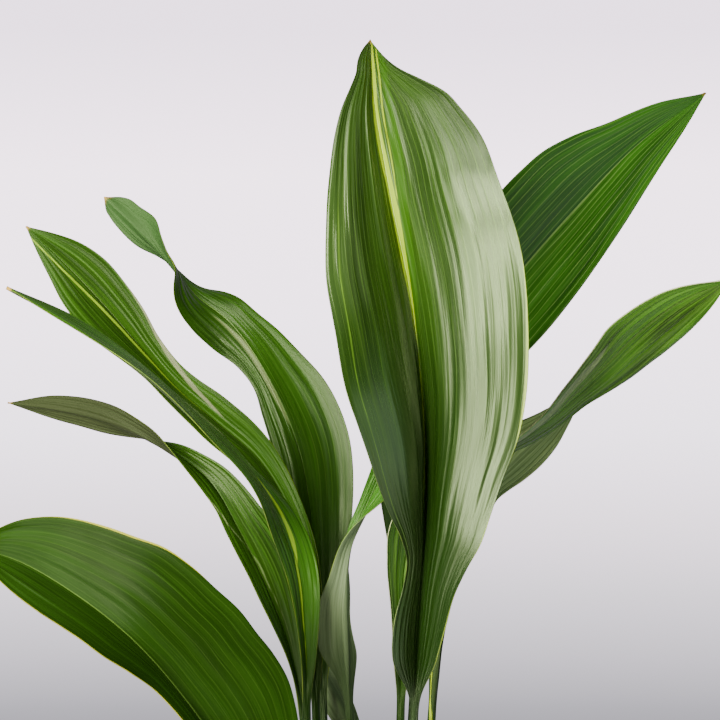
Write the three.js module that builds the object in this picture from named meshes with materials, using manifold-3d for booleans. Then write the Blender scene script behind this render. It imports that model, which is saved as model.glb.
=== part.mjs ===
// A cast iron plant (Aspidistra elatior) growing in a plain round pot.
// Millimetres, +Z up. The origin is the centre of the pot's flat underside.
// Each leaf, petiole and blade grown as one, is a node of its own, and so are the soil and the pot.

import * as THREE from 'three';
import * as BufferGeometryUtils from 'three/addons/utils/BufferGeometryUtils.js';
import Module from 'manifold-3d';

// ---------------------------------------------------------------- driving dimensions

const POT = {
  height: 178,
  footRadius: 72,
  bodyRadius: 94, // outside of the wall just under the rim band
  rimRadius: 101,
  rimHeight: 22,
  wall: 6,
  floor: 9,
  edge: 2, // width of the chamfers that break the pot's edges
  sides: 48,
};

const SOIL = {
  edgeHeight: 158, // where the soil meets the wall, below the rim
  crownHeight: 164, // middle of the soil, slightly heaped
  crownRadius: 62, // the heap is level out to here
  gap: 0.3, // clear of the pot on every side
  holeClearance: 0.4, // round each petiole
  holeDepthBelow: 0.3, // under each petiole's foot
  holeSides: 16,
};

const PETIOLE = {
  footHeight: 128, // the petioles' lower ends, inside the soil
  straightTo: 170, // they stand upright up to here, just above the soil
  sheathRadius: 3.6, // thicker at the foot, where old sheaths wrap it
  stalkRadius: 2.5,
  sheathLength: 110, // over which the sheath thins out into the bare stalk
};

const BLADE = {
  thickness: 0.8,
  rimThickness: 0.6,
  midribDepth: 1.3, // the rib stands out of the underside by this much
  arch: [[0, 16], [1, 16]], // where a leaf gives none of its own
  crease: [[0, 0.5, 0], [1, 0.5, 0]], // likewise
  blend: 0.1, // share of the blade over which the round stalk opens into it
  halfColumns: 3,
  stationStep: 22, // along the leaf
  stationTurn: 20, // degrees of twist that also ask for a new station
};

// Each leaf: its root on the soil, its midrib from there to the tip, and the midrib point at which
// the blade begins. Along the blade, as shares of its length from 0 to 1, go the widths of its two
// halves, the roll about the midrib (0 faces the front, 180 shows the underside) and the fold, the
// angle by which each half rises from flat. The arch is by how many degrees each half flattens from
// midrib to margin. A crease is at a share of the half blade, and inside it the half is steeper by
// its angle. A wave is [height, count, left phase, right phase].

const LEAVES = [
  {
    name: 'leaf_front',
    root: [22, -44],
    midrib: [[29, -52, 311], [31, -64, 413], [33, -72, 458], [37, -84, 526], [36, -90, 592],
      [29, -90, 653], [17, -78, 715], [9, -56, 764], [6, -24, 809]],
    bladeFrom: 1,
    width: [[0, 3, 3], [0.05, 16, 13.5], [0.1, 23.6, 20.6], [0.15, 22.2, 26.2], [0.2, 16, 30.5],
      [0.235, 15.5, 37], [0.27, 23.6, 45.2], [0.3, 34, 48.4], [0.35, 48.2, 53], [0.4, 58, 60.5],
      [0.46, 63.2, 67.8], [0.54, 59.8, 74.5], [0.62, 55, 76.5], [0.7, 44.3, 70.8],
      [0.76, 36.3, 64.3], [0.82, 28.4, 52.4], [0.86, 22.3, 43.2], [0.9, 14.9, 28.1],
      [0.93, 10.4, 16.4], [0.955, 8.8, 9.3], [0.98, 4.9, 3.9], [1, 0, 0]],
    roll: [[0, 0], [0.2, 3], [0.3, -5], [0.38, -11], [0.54, -4], [0.7, 2], [0.85, -2], [1, -5]],
    fold: [[0, 62], [0.11, 56], [0.235, 48], [0.38, 36], [0.54, 30], [0.7, 23], [0.85, 20],
      [1, 18]],
    wave: [1.5, 4, 0.2, 0.6],
    arch: [[0, 16], [0.3, 36], [0.45, 34], [0.6, 28], [0.75, 24], [0.88, 16], [1, 16]],
    crease: [[0, 0.46, 0], [0.2, 0.46, 0], [0.3, 0.46, 10], [0.38, 0.46, 13], [0.5, 0.51, 11],
      [0.6, 0.56, 11], [0.7, 0.6, 10], [0.8, 0.58, 6], [0.9, 0.5, 2], [1, 0.5, 0]],
    color: 0x2f6b12,
  },
  {
    name: 'leaf_right_high',
    root: [-4, -28],
    midrib: [[-6, -32, 307], [-6, -36, 409], [-8, -38, 445], [-9, -38, 479], [-6, -34, 511],
      [5, -26, 535], [28, -14, 580], [62, -2, 630], [99, 10, 676], [132, 20, 713], [169, 34, 751],
      [215, 54, 786]],
    bladeFrom: 1,
    width: [[0, 3, 3], [0.05, 9, 14], [0.08, 9, 19.5], [0.1, 6.5, 18.5], [0.13, 4.5, 16],
      [0.15, 5, 14], [0.18, 6, 9.5], [0.22, 7, 8.5], [0.28, 5.5, 12], [0.36, 12, 16],
      [0.45, 30, 26], [0.6, 44, 35.7], [0.66, 47, 34.5], [0.72, 47.5, 32], [0.76, 45.5, 30],
      [0.8, 38.5, 27.5], [0.85, 26.5, 23], [0.94, 12, 11], [1, 0, 0]],
    roll: [[0, 180], [0.12, 165], [0.2, 110], [0.25, 70], [0.32, 15], [0.45, 0], [0.7, -15], [1, -20]],
    fold: [[0, 60], [0.1, 35], [0.25, 20], [0.5, 20], [1, 10]],
    wave: [1.5, 4, 0.1, 0.5],
    color: 0x2a6414,
  },
  {
    name: 'leaf_right_low',
    root: [16, -8],
    midrib: [[22, -12, 303], [24, -18, 407], [25, -22, 452], [27, -26, 502], [37, -29, 541],
      [59, -31, 562], [90, -33, 572], [109, -35, 585], [126, -41, 601], [142, -49, 617],
      [156, -59, 632], [178, -80, 651], [206, -108, 665]],
    bladeFrom: 1,
    width: [[0, 3, 3], [0.1, 6.5, 10], [0.2, 9, 14], [0.25, 12.5, 16], [0.3, 17, 18.3],
      [0.35, 19, 20], [0.5, 22, 22], [0.6, 22, 22], [0.65, 21.5, 20], [0.7, 19.8, 22],
      [0.75, 20.8, 24], [0.8, 22.8, 24], [0.87, 18, 20], [0.95, 8, 10], [1, 0, 0]],
    roll: [[0, 10], [0.3, -20], [0.4, -65], [0.5, -82], [0.6, -72], [0.72, -48], [0.85, -40], [1, -30]],
    fold: [[0, 60], [0.2, 30], [0.4, 10], [0.7, 8], [1, 15]],
    wave: [1, 3, 0.2, 0.6],
    color: 0x4a7a2a,
  },
  {
    name: 'leaf_right_folded',
    root: [40, -16],
    midrib: [[40, -22, 305], [42, -32, 409], [46, -34, 455], [53, -28, 502], [69, -14, 537],
      [90, 2, 560], [113, 12, 580], [132, 22, 594]],
    bladeFrom: 1,
    width: [[0, 3, 3], [0.1, 4, 7], [0.2, 4.2, 11.2], [0.3, 7, 16], [0.4, 12.5, 20],
      [0.5, 15.5, 24], [0.6, 14.5, 26], [0.65, 13.2, 25.6], [0.7, 15, 24.6], [0.75, 17.5, 22.8],
      [0.8, 18.3, 19.5], [0.85, 17, 14.5], [0.9, 13.8, 10.3], [0.94, 9.5, 8], [0.97, 5.8, 5],
      [1, 0, 0]],
    roll: [[0, 185], [0.4, 190], [0.7, 185], [1, 180]],
    fold: [[0, 62], [0.5, 45], [1, 20]],
    wave: [1, 3, 0.2, 0.6],
    color: 0x47742a,
  },
  {
    name: 'leaf_left_high',
    root: [-14, 14],
    midrib: [[-20, 8, 298], [-22, 10, 403], [-24, 14, 448], [-28, 24, 508], [-37, 36, 564],
      [-54, 50, 604], [-81, 66, 643], [-105, 80, 662], [-121, 92, 682], [-141, 104, 703],
      [-165, 118, 725]],
    bladeFrom: 1,
    width: [[0, 3, 3], [0.12, 10, 12], [0.2, 15.5, 22], [0.25, 18, 30], [0.3, 20, 34],
      [0.35, 19, 37.5], [0.4, 17.5, 39.3], [0.45, 16, 38.8], [0.5, 14, 36], [0.55, 11.5, 29.8],
      [0.6, 14, 23.5], [0.65, 20, 17], [0.7, 23, 15.5], [0.75, 22.5, 14], [0.8, 12, 8.5],
      [0.83, 7.5, 7.5], [0.86, 9, 8], [0.9, 12.8, 10.2], [0.94, 11, 9.5], [0.97, 9.5, 7.5],
      [0.985, 6, 5.5], [1, 0, 0]],
    roll: [[0, 0], [0.4, 10], [0.65, -5], [0.76, -60], [0.82, -100], [0.9, -160], [1, -180]],
    fold: [[0, 60], [0.3, 30], [0.6, 15], [0.8, 10], [1, 10]],
    wave: [1.5, 4, 0.3, 0.8],
    arch: [[0, 16], [0.2, 50], [0.45, 50], [0.65, 16], [1, 16]],
    color: 0x3d7414,
  },
  {
    name: 'leaf_left_edge_on',
    root: [-27, -38],
    midrib: [[-30, -40, 309], [-31, -44, 410], [-32, -46, 455], [-37, -52, 504], [-59, -60, 549],
      [-95, -62, 586], [-124, -58, 612], [-156, -50, 635], [-207, -34, 663]],
    bladeFrom: 1,
    width: [[0, 3, 3], [0.15, 5, 9], [0.3, 13, 12], [0.42, 20, 20], [0.55, 24, 24], [0.7, 24, 24],
      [0.86, 14, 14], [0.95, 6, 6], [1, 0, 0]],
    roll: [[0, -5], [0.2, -15], [0.33, -48], [0.42, -79], [0.55, -88], [0.75, -86], [1, -78]],
    fold: [[0, 55], [0.2, 30], [0.35, 6], [0.6, 3], [1, 3]],
    wave: [1, 3, 0.2, 0.6],
    color: 0x4b8a1c,
  },
  {
    name: 'leaf_left_back',
    root: [-24, -10],
    midrib: [[-22, -14, 303], [-26, -16, 406], [-28, -16, 457], [-38, -14, 521], [-62, -8, 562],
      [-88, -2, 584], [-110, 4, 603], [-131, 10, 626], [-152, 16, 650], [-172, 22, 671], [-205, 34, 702]],
    bladeFrom: 1,
    width: [[0, 3, 3], [0.15, 8, 8], [0.35, 18, 10], [0.45, 22, 14], [0.5, 23, 16], [0.55, 22, 16],
      [0.6, 20.6, 14.2], [0.65, 20.5, 13.3], [0.7, 25, 15], [0.75, 29, 19.5], [0.8, 27, 21.5],
      [0.85, 22, 22], [0.89, 16, 19], [0.96, 6, 8], [1, 0, 0]],
    roll: [[0, 0], [0.4, -20], [0.6, -20], [0.8, -10], [1, 0]],
    fold: [[0, 50], [0.4, 40], [0.7, 45], [1, 20]],
    wave: [1, 3, 0.2, 0.6],
    color: 0x2c5a12,
  },
  {
    name: 'leaf_left_mid',
    root: [-42, -22],
    midrib: [[-36, -28, 306], [-33, -30, 408], [-41, -32, 448], [-55, -34, 487], [-72, -34, 522],
      [-88, -32, 548], [-118, -28, 570], [-146, -18, 583], [-180, 0, 591], [-213, 18, 594]],
    bladeFrom: 1,
    width: [[0, 3, 3], [0.12, 5, 10], [0.2, 9.5, 17], [0.25, 12, 21], [0.3, 13, 23],
      [0.35, 12.5, 22.3], [0.4, 10.5, 20], [0.45, 8.5, 17], [0.5, 9.5, 13], [0.55, 10, 9.3],
      [0.62, 9, 8.5], [0.68, 8, 9], [0.76, 9.5, 10], [0.82, 9.5, 9], [0.9, 7, 7], [1, 0, 0]],
    roll: [[0, -20], [0.3, -25], [0.5, -25], [0.58, -60], [0.66, -110], [0.76, -160], [1, -180]],
    fold: [[0, 50], [0.4, 32], [0.7, 20], [1, 10]],
    wave: [1, 3, 0.2, 0.6],
    color: 0x35701a,
  },
  {
    name: 'leaf_left_low',
    root: [-15, -54],
    midrib: [[-27, -68, 257], [-43, -90, 329], [-69, -108, 388], [-96, -118, 431], [-127, -122, 467],
      [-159, -116, 491], [-192, -104, 508], [-222, -90, 515]],
    bladeFrom: 1,
    width: [[0, 3, 3], [0.1, 14, 17], [0.2, 20, 34], [0.25, 22, 42], [0.3, 22, 49],
      [0.35, 21.5, 54], [0.4, 20, 55], [0.45, 19.5, 54], [0.5, 22, 54], [0.55, 29.5, 52.3],
      [0.6, 36.5, 52.2], [0.65, 36, 51], [0.7, 34, 46], [0.75, 31, 41.5], [0.85, 22, 30],
      [0.95, 8, 12], [1, 0, 0]],
    roll: [[0, -20], [0.25, -38], [0.55, -36], [0.8, -30], [1, -30]],
    fold: [[0, 50], [0.3, 38], [0.55, 36], [0.8, 28], [1, 15]],
    wave: [1.5, 3, 0.3, 0.7],
    color: 0x27520f,
  },
  {
    name: 'leaf_inner_small',
    root: [8, 24],
    midrib: [[8, 22, 295], [3, 20, 367], [-10, 18, 405], [-22, 20, 427], [-35, 24, 449], [-45, 30, 475]],
    bladeFrom: 1,
    width: [[0, 3, 3], [0.2, 7, 7], [0.5, 10, 10], [0.8, 7, 7], [1, 0, 0]],
    roll: [[0, 180], [1, 160]],
    fold: [[0, 30], [1, 10]],
    wave: [0.5, 2, 0.2, 0.6],
    color: 0x55842e,
  },
  {
    name: 'leaf_back_tall',
    root: [18, 44],
    midrib: [[26, 58, 300], [34, 78, 420], [38, 104, 540], [43, 140, 640], [47, 190, 715], [50, 240, 748]],
    bladeFrom: 1,
    width: [[0, 3, 3], [0.1, 14, 14], [0.3, 32, 34], [0.5, 42, 43], [0.7, 38, 39], [0.88, 20, 20],
      [0.96, 8, 8], [1, 0, 0]],
    roll: [[0, 0], [1, -8]],
    fold: [[0, 60], [0.2, 40], [0.6, 22], [1, 15]],
    wave: [2, 4, 0.1, 0.6],
    color: 0x2b6212,
  },
  {
    name: 'leaf_low_right',
    root: [36, -36],
    midrib: [[58, -50, 250], [98, -62, 312], [150, -70, 344], [205, -72, 346], [262, -66, 320]],
    bladeFrom: 1,
    width: [[0, 3, 3], [0.12, 14, 13], [0.35, 36, 34], [0.55, 41, 40], [0.75, 33, 32], [0.9, 16, 15],
      [1, 0, 0]],
    roll: [[0, 60], [0.4, 66], [1, 74]],
    fold: [[0, 58], [0.25, 36], [0.6, 20], [1, 14]],
    wave: [2, 4, 0.3, 0.8],
    color: 0x2d6013,
  },
  {
    name: 'leaf_low_back',
    root: [-32, 20],
    midrib: [[-50, 50, 250], [-86, 96, 300], [-130, 146, 320], [-176, 194, 310], [-216, 236, 276]],
    bladeFrom: 1,
    width: [[0, 3, 3], [0.12, 13, 14], [0.35, 34, 36], [0.55, 40, 41], [0.75, 32, 33], [0.9, 15, 16],
      [1, 0, 0]],
    roll: [[0, -60], [0.4, -70], [1, -80]],
    fold: [[0, 58], [0.25, 36], [0.6, 20], [1, 14]],
    wave: [2, 4, 0.2, 0.7],
    color: 0x2d6013,
  },
];

const SURFACES = {
  pot: { color: 0xd9d5cc, roughness: 0.75 },
  soil: { color: 0x2c211a, roughness: 0.95 },
  leafRoughness: 0.4,
};

// ---------------------------------------------------------------- curves

// Slopes of a smooth curve through values at increasing knots, each the mean of its two neighbours'
// slopes, weighted so that the shorter side counts more.
function slopesOf(knots, values) {
  const last = knots.length - 1;
  const secant = (i) => (values[i + 1] - values[i]) / (knots[i + 1] - knots[i]);
  return knots.map((knot, i) => {
    if (i === 0) return secant(0);
    if (i === last) return secant(last - 1);
    const before = knot - knots[i - 1];
    const after = knots[i + 1] - knot;
    return (after * secant(i - 1) + before * secant(i)) / (before + after);
  });
}

// The cubic Hermite curve through the values at x, held level beyond both ends.
function hermite(knots, values, slopes, x) {
  const last = knots.length - 1;
  const at = Math.min(Math.max(x, knots[0]), knots[last]);
  let i = 0;
  while (i < last - 1 && at > knots[i + 1]) i += 1;
  const span = knots[i + 1] - knots[i];
  const u = (at - knots[i]) / span;
  const v = 1 - u;
  return v * v * (1 + 2 * u) * values[i] + u * v * v * span * slopes[i]
    + u * u * (3 - 2 * u) * values[i + 1] - u * u * v * span * slopes[i + 1];
}

// A function of the share of the blade, smooth through the given column of a list of rows.
function smoothKeys(rows, column = 1) {
  const knots = rows.map((row) => row[0]);
  const values = rows.map((row) => row[column]);
  const slopes = slopesOf(knots, values);
  return (x) => hermite(knots, values, slopes, x);
}

// The midrib's curve: upright from the foot to just above the soil, then through the given points.
// Returns the arc length at which the blade begins, the whole length, and a function that gives the
// point and the tangent at any arc length.
function midribCurve(leaf) {
  const [x, y] = leaf.root;
  const points = [[x, y, PETIOLE.footHeight], [x, y, PETIOLE.straightTo], ...leaf.midrib];
  const knots = [0];
  for (let i = 1; i < points.length; i += 1) {
    knots.push(knots[i - 1] + Math.hypot(...points[i].map((v, k) => v - points[i - 1][k])));
  }
  const axes = [0, 1, 2].map((k) => {
    const values = points.map((p) => p[k]);
    const slopes = slopesOf(knots, values);
    slopes[0] = k === 2 ? 1 : 0;
    slopes[1] = slopes[0];
    return (s) => hermite(knots, values, slopes, s);
  });
  const pointAtKnot = (s) => new THREE.Vector3(axes[0](s), axes[1](s), axes[2](s));
  const steps = 600;
  const total = knots[knots.length - 1];
  const lengths = [0];
  let before = pointAtKnot(0);
  for (let i = 1; i <= steps; i += 1) {
    const here = pointAtKnot((i / steps) * total);
    lengths.push(lengths[i - 1] + here.distanceTo(before));
    before = here;
  }
  const lengthAt = (s) => {
    const f = (s / total) * steps;
    const i = Math.min(Math.floor(f), steps - 1);
    return lengths[i] + (lengths[i + 1] - lengths[i]) * (f - i);
  };
  const knotAt = (length) => {
    let i = 0;
    while (i < steps - 1 && lengths[i + 1] < length) i += 1;
    const part = (length - lengths[i]) / (lengths[i + 1] - lengths[i]);
    return ((i + Math.min(Math.max(part, 0), 1)) / steps) * total;
  };
  return {
    bladeStart: lengthAt(knots[leaf.bladeFrom + 2]),
    length: lengths[steps],
    sample(length) {
      const s = knotAt(length);
      const reach = total * 0.002;
      const ahead = pointAtKnot(Math.min(s + reach, total));
      const behind = pointAtKnot(Math.max(s - reach, 0));
      return { point: pointAtKnot(s), tangent: ahead.sub(behind).normalize() };
    },
  };
}

// ---------------------------------------------------------------- leaves

const FRONT = new THREE.Vector3(0, 1, 0);

// The leaf's own directions at a point: across to its right, and outwards from its upper side.
function crossDirections(tangent, rollDegrees) {
  const across = new THREE.Vector3().crossVectors(FRONT, tangent).normalize();
  const outward = new THREE.Vector3().crossVectors(across, tangent).normalize();
  const roll = THREE.MathUtils.degToRad(rollDegrees);
  return {
    across: across.clone().multiplyScalar(Math.cos(roll)).addScaledVector(outward, Math.sin(roll)),
    outward: outward.clone().multiplyScalar(Math.cos(roll)).addScaledVector(across, -Math.sin(roll)),
  };
}

// Radius of the stalk at an arc length from the foot: the sheath thins out into the bare petiole.
function stalkRadius(length) {
  const bare = THREE.MathUtils.smoothstep(length, PETIOLE.straightTo - PETIOLE.footHeight,
    PETIOLE.straightTo - PETIOLE.footHeight + PETIOLE.sheathLength);
  return THREE.MathUtils.lerp(PETIOLE.sheathRadius, PETIOLE.stalkRadius, bare);
}

// Where a half blade's middle surface lies at share u across it, as [along, rise, turn]. The turn
// falls evenly by the arch, from more than the fold to less, and is steeper inside the crease.
function bladeSection(form, width, u) {
  const arch = THREE.MathUtils.degToRad(form.arch);
  const outer = THREE.MathUtils.degToRad(form.fold) + arch / 2;
  const inner = outer + THREE.MathUtils.degToRad(form.crease);
  const split = Math.min(u, form.creaseAt);
  let along = 0;
  let rise = 0;
  for (const [start, from, to] of [[inner, 0, split], [outer, split, u]]) {
    along += (Math.sin(start - arch * from) - Math.sin(start - arch * to)) / arch;
    rise += (Math.cos(start - arch * to) - Math.cos(start - arch * from)) / arch;
  }
  return [along * width, rise * width, (u < form.creaseAt ? inner : outer) - arch * u];
}

// One point of a blade's section, as [across, outward]. side is -1 or 1 for the left or right half,
// u runs from the midrib (0) to the margin (1), and face is 1 for the upper side, -1 for the lower.
function bladePoint(form, width, lift, side, u, face) {
  const [along, level, here] = bladeSection(form, width, u);
  const rise = level + lift * u * u;
  const rib = face < 0 ? BLADE.midribDepth * Math.exp(-((u * width) ** 2) / 6) : 0;
  const half = THREE.MathUtils.lerp(BLADE.thickness, BLADE.rimThickness, u) / 2 + rib;
  return [
    side * (along - face * half * Math.sin(here)),
    rise + face * half * Math.cos(here),
  ];
}

// One point of the round stalk's section, for the same column of the loop.
function stalkPoint(radius, column, face) {
  const angle = column * THREE.MathUtils.degToRad(78);
  return [radius * Math.sin(angle), face * radius * Math.cos(angle)];
}

// Arc lengths of the loops: evenly along the stalk, and along the blade closer where it twists.
function stationLengths(leaf, curve) {
  const roll = smoothKeys(leaf.roll);
  const lengths = [];
  const stalkSteps = Math.ceil(curve.bladeStart / (2 * BLADE.stationStep));
  lengths.push(0, PETIOLE.straightTo - PETIOLE.footHeight);
  const rest = curve.bladeStart - lengths[1];
  for (let i = 1; i < stalkSteps; i += 1) lengths.push(lengths[1] + (rest * i) / stalkSteps);
  const samples = 240;
  const bladeLength = curve.length - curve.bladeStart;
  const effort = [0];
  for (let i = 1; i <= samples; i += 1) {
    const turn = Math.abs(roll(i / samples) - roll((i - 1) / samples));
    const step = bladeLength / samples / BLADE.stationStep + turn / BLADE.stationTurn;
    effort.push(effort[i - 1] + step);
  }
  const count = Math.ceil(effort[samples]);
  for (let k = 0, i = 0; k <= count; k += 1) {
    const wanted = (effort[samples] * k) / count;
    while (i < samples && effort[i] < wanted) i += 1;
    lengths.push(curve.bladeStart + (bladeLength * i) / samples);
  }
  return lengths;
}

function leafGeometry(leaf) {
  const curve = midribCurve(leaf);
  const leftWidth = smoothKeys(leaf.width, 1);
  const rightWidth = smoothKeys(leaf.width, 2);
  const roll = smoothKeys(leaf.roll);
  const fold = smoothKeys(leaf.fold);
  const arch = smoothKeys(leaf.arch ?? BLADE.arch);
  const creaseAt = smoothKeys(leaf.crease ?? BLADE.crease, 1);
  const crease = smoothKeys(leaf.crease ?? BLADE.crease, 2);
  const [waveHeight, waveCount, leftPhase, rightPhase] = leaf.wave;
  const columns = [];
  for (let c = -BLADE.halfColumns; c <= BLADE.halfColumns; c += 1) columns.push(c / BLADE.halfColumns);

  const positions = [];
  const stations = stationLengths(leaf, curve);
  for (const length of stations) {
    const share = THREE.MathUtils.clamp(
      (length - curve.bladeStart) / (curve.length - curve.bladeStart), 0, 1);
    const { point, tangent } = curve.sample(length);
    const { across, outward } = crossDirections(tangent, roll(share));
    const form = {
      fold: fold(share), arch: arch(share), creaseAt: creaseAt(share), crease: crease(share),
    };
    const opened = THREE.MathUtils.smoothstep(share, 0, BLADE.blend);
    const radius = stalkRadius(length);
    for (const face of [1, -1]) {
      for (const column of face > 0 ? columns : [...columns].reverse()) {
        const side = column < 0 ? -1 : 1;
        const u = Math.abs(column);
        const width = Math.max(side < 0 ? leftWidth(share) : rightWidth(share), BLADE.rimThickness);
        const phase = side < 0 ? leftPhase : rightPhase;
        const lift = waveHeight * Math.sqrt(Math.sin(Math.PI * share))
          * Math.sin(2 * Math.PI * (waveCount * share + phase));
        const blade = bladePoint(form, width, lift, side, u, face);
        const stalk = stalkPoint(radius, column, face);
        const a = THREE.MathUtils.lerp(stalk[0], blade[0], opened);
        const b = THREE.MathUtils.lerp(stalk[1], blade[1], opened);
        const p = point.clone().addScaledVector(across, a).addScaledVector(outward, b);
        positions.push(p.x, p.y, p.z);
      }
    }
  }

  const ring = 2 * columns.length;
  const index = [];
  for (let s = 0; s < stations.length - 1; s += 1) {
    for (let k = 0; k < ring; k += 1) {
      const next = (k + 1) % ring;
      const a = s * ring + k;
      const b = s * ring + next;
      // the lower side runs the other way round, so its diagonals are turned to match the upper side
      if (k < columns.length) index.push(a, b + ring, a + ring, a, b, b + ring);
      else index.push(a, b, a + ring, b, b + ring, a + ring);
    }
  }
  capRing(index, 0, ring, columns.length, false);
  capRing(index, (stations.length - 1) * ring, ring, columns.length, true);
  const geometry = new THREE.BufferGeometry();
  geometry.setAttribute('position', new THREE.Float32BufferAttribute(positions, 3));
  geometry.setIndex(index);
  geometry.computeVertexNormals();
  return geometry;
}

// Closes an end loop by strips between each upper point and the lower point under it.
function capRing(index, first, ring, columns, atTip) {
  for (let k = 0; k < columns - 1; k += 1) {
    const a = first + k;
    const b = first + k + 1;
    const c = first + ring - 1 - k;
    const d = first + ring - 2 - k;
    const faces = [[a, b, c], [b, d, c]];
    for (const [p, q, r] of faces) {
      if (atTip) index.push(p, q, r);
      else index.push(p, r, q);
    }
  }
}

// ---------------------------------------------------------------- pot and soil

function lathe(profile) {
  const geometry = new THREE.LatheGeometry(profile.map(([r, z]) => new THREE.Vector2(r, z)), POT.sides);
  geometry.rotateX(Math.PI / 2);
  geometry.deleteAttribute('normal');
  geometry.deleteAttribute('uv');
  return BufferGeometryUtils.mergeVertices(geometry, 1e-4);
}

// Outer radius of the pot's tapered wall at a height.
function wallRadius(height) {
  const share = height / (POT.height - POT.rimHeight);
  return THREE.MathUtils.lerp(POT.footRadius, POT.bodyRadius, share);
}

function potProfile() {
  const { height, rimHeight, rimRadius, bodyRadius, footRadius, wall, floor, edge } = POT;
  const rimFoot = height - rimHeight;
  return [
    [0, 0],
    [footRadius - edge, 0],
    [wallRadius(edge), edge],
    [bodyRadius, rimFoot],
    [rimRadius - edge, rimFoot + edge],
    [rimRadius, rimFoot + 2 * edge],
    [rimRadius, height - edge],
    [rimRadius - edge, height],
    [bodyRadius - wall + edge, height],
    [bodyRadius - wall, height - edge],
    [bodyRadius - wall, rimFoot],
    [wallRadius(floor + 2 * edge) - wall, floor + 2 * edge],
    [wallRadius(floor) - wall - 2 * edge, floor],
    [0, floor],
  ];
}

function soilProfile() {
  const { bodyRadius, wall, floor, edge } = POT;
  const { gap, edgeHeight, crownHeight, crownRadius } = SOIL;
  const inside = (z) => wallRadius(z) - wall - gap;
  const bottom = floor + gap;
  return [
    [0, bottom],
    [inside(floor) - 2 * edge - gap, bottom],
    [inside(floor + 2 * edge), floor + 2 * edge + gap],
    [bodyRadius - wall - gap, edgeHeight],
    [crownRadius, crownHeight],
    [0, crownHeight],
  ];
}

function solidFrom(wasm, geometry) {
  const vertProperties = Float32Array.from(geometry.attributes.position.array);
  const triVerts = Uint32Array.from(geometry.index.array);
  return new wasm.Manifold(new wasm.Mesh({ numProp: 3, vertProperties, triVerts }));
}

function geometryFrom(solid) {
  const mesh = solid.getMesh();
  const geometry = new THREE.BufferGeometry();
  geometry.setAttribute('position', new THREE.BufferAttribute(Float32Array.from(mesh.vertProperties), 3));
  geometry.setIndex(new THREE.BufferAttribute(Uint32Array.from(mesh.triVerts), 1));
  geometry.computeVertexNormals();
  return geometry;
}

// The hole that a petiole stands in: an upright many-sided bore that clears the round foot.
function petioleHole(root) {
  const clear = PETIOLE.sheathRadius + SOIL.holeClearance;
  const radius = clear / Math.cos(Math.PI / SOIL.holeSides);
  const bottom = PETIOLE.footHeight - SOIL.holeDepthBelow;
  const top = POT.height;
  const geometry = new THREE.CylinderGeometry(radius, radius, top - bottom, SOIL.holeSides);
  geometry.rotateX(Math.PI / 2);
  geometry.translate(root[0], root[1], (top + bottom) / 2);
  geometry.deleteAttribute('normal');
  geometry.deleteAttribute('uv');
  return BufferGeometryUtils.mergeVertices(geometry, 1e-4);
}

function soilGeometry(wasm) {
  let solid = solidFrom(wasm, lathe(soilProfile()));
  for (const leaf of LEAVES) solid = solid.subtract(solidFrom(wasm, petioleHole(leaf.root)));
  return geometryFrom(solid);
}

// ---------------------------------------------------------------- assembly

function namedMesh(name, geometry, color, roughness) {
  const material = new THREE.MeshStandardMaterial({ color, roughness, metalness: 0 });
  const mesh = new THREE.Mesh(geometry, material);
  mesh.name = name;
  return mesh;
}

const wasm = await Module();
wasm.setup();

const plant = new THREE.Group();
plant.add(namedMesh('pot', lathe(potProfile()), SURFACES.pot.color, SURFACES.pot.roughness));
plant.add(namedMesh('soil', soilGeometry(wasm), SURFACES.soil.color, SURFACES.soil.roughness));
for (const leaf of LEAVES) {
  plant.add(namedMesh(leaf.name, leafGeometry(leaf), leaf.color, SURFACES.leafRoughness));
}

export default plant;
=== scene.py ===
"""A cast iron plant (Aspidistra elatior) in a plain stoneware pot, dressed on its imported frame.

Every leaf is one closed surface over two parameters: where a point lies along the midrib, and
which column of the loop round the blade it belongs to. Sizes in the tables are millimetres, as
in the part's source; meshes are in metres.
"""

import logging
import math
from collections.abc import Callable
from dataclasses import dataclass, field
from enum import Enum
from functools import partial
from itertools import combinations

import bpy
import numpy as np
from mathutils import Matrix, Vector


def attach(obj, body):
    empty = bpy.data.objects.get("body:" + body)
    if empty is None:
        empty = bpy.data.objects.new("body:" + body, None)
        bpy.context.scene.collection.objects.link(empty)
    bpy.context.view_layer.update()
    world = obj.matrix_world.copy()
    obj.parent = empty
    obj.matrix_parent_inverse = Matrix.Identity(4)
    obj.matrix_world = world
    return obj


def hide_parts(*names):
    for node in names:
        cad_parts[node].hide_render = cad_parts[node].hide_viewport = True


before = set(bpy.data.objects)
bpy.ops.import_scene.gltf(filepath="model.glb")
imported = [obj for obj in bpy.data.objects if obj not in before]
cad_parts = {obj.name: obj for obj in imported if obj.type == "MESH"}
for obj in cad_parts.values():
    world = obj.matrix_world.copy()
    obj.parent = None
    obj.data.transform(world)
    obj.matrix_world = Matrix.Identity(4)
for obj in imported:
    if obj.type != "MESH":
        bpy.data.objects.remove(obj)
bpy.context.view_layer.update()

MM = 0.001
LOG = logging.getLogger("cast_iron_plant")

AddNode = Callable[..., bpy.types.Node]
Point = tuple[float, float, float]
Rows = tuple[tuple[float, ...], ...]
Socket = bpy.types.NodeSocket


# ---------------------------------------------------------------- small tools


def linear(colour: str) -> tuple[float, float, float, float]:
    """Turns an sRGB hex colour into linear red, green, blue and full opacity.

    Args:
        colour: six hex digits after a hash sign.

    Returns:
        The linear colour, with each channel raised by the sRGB curve.
    """
    parts = [int(colour[i:i + 2], 16) / 255 for i in (1, 3, 5)]
    raised = [p / 12.92 if p <= 0.04045 else ((p + 0.055) / 1.055) ** 2.4 for p in parts]
    return (raised[0], raised[1], raised[2], 1.0)


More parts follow.
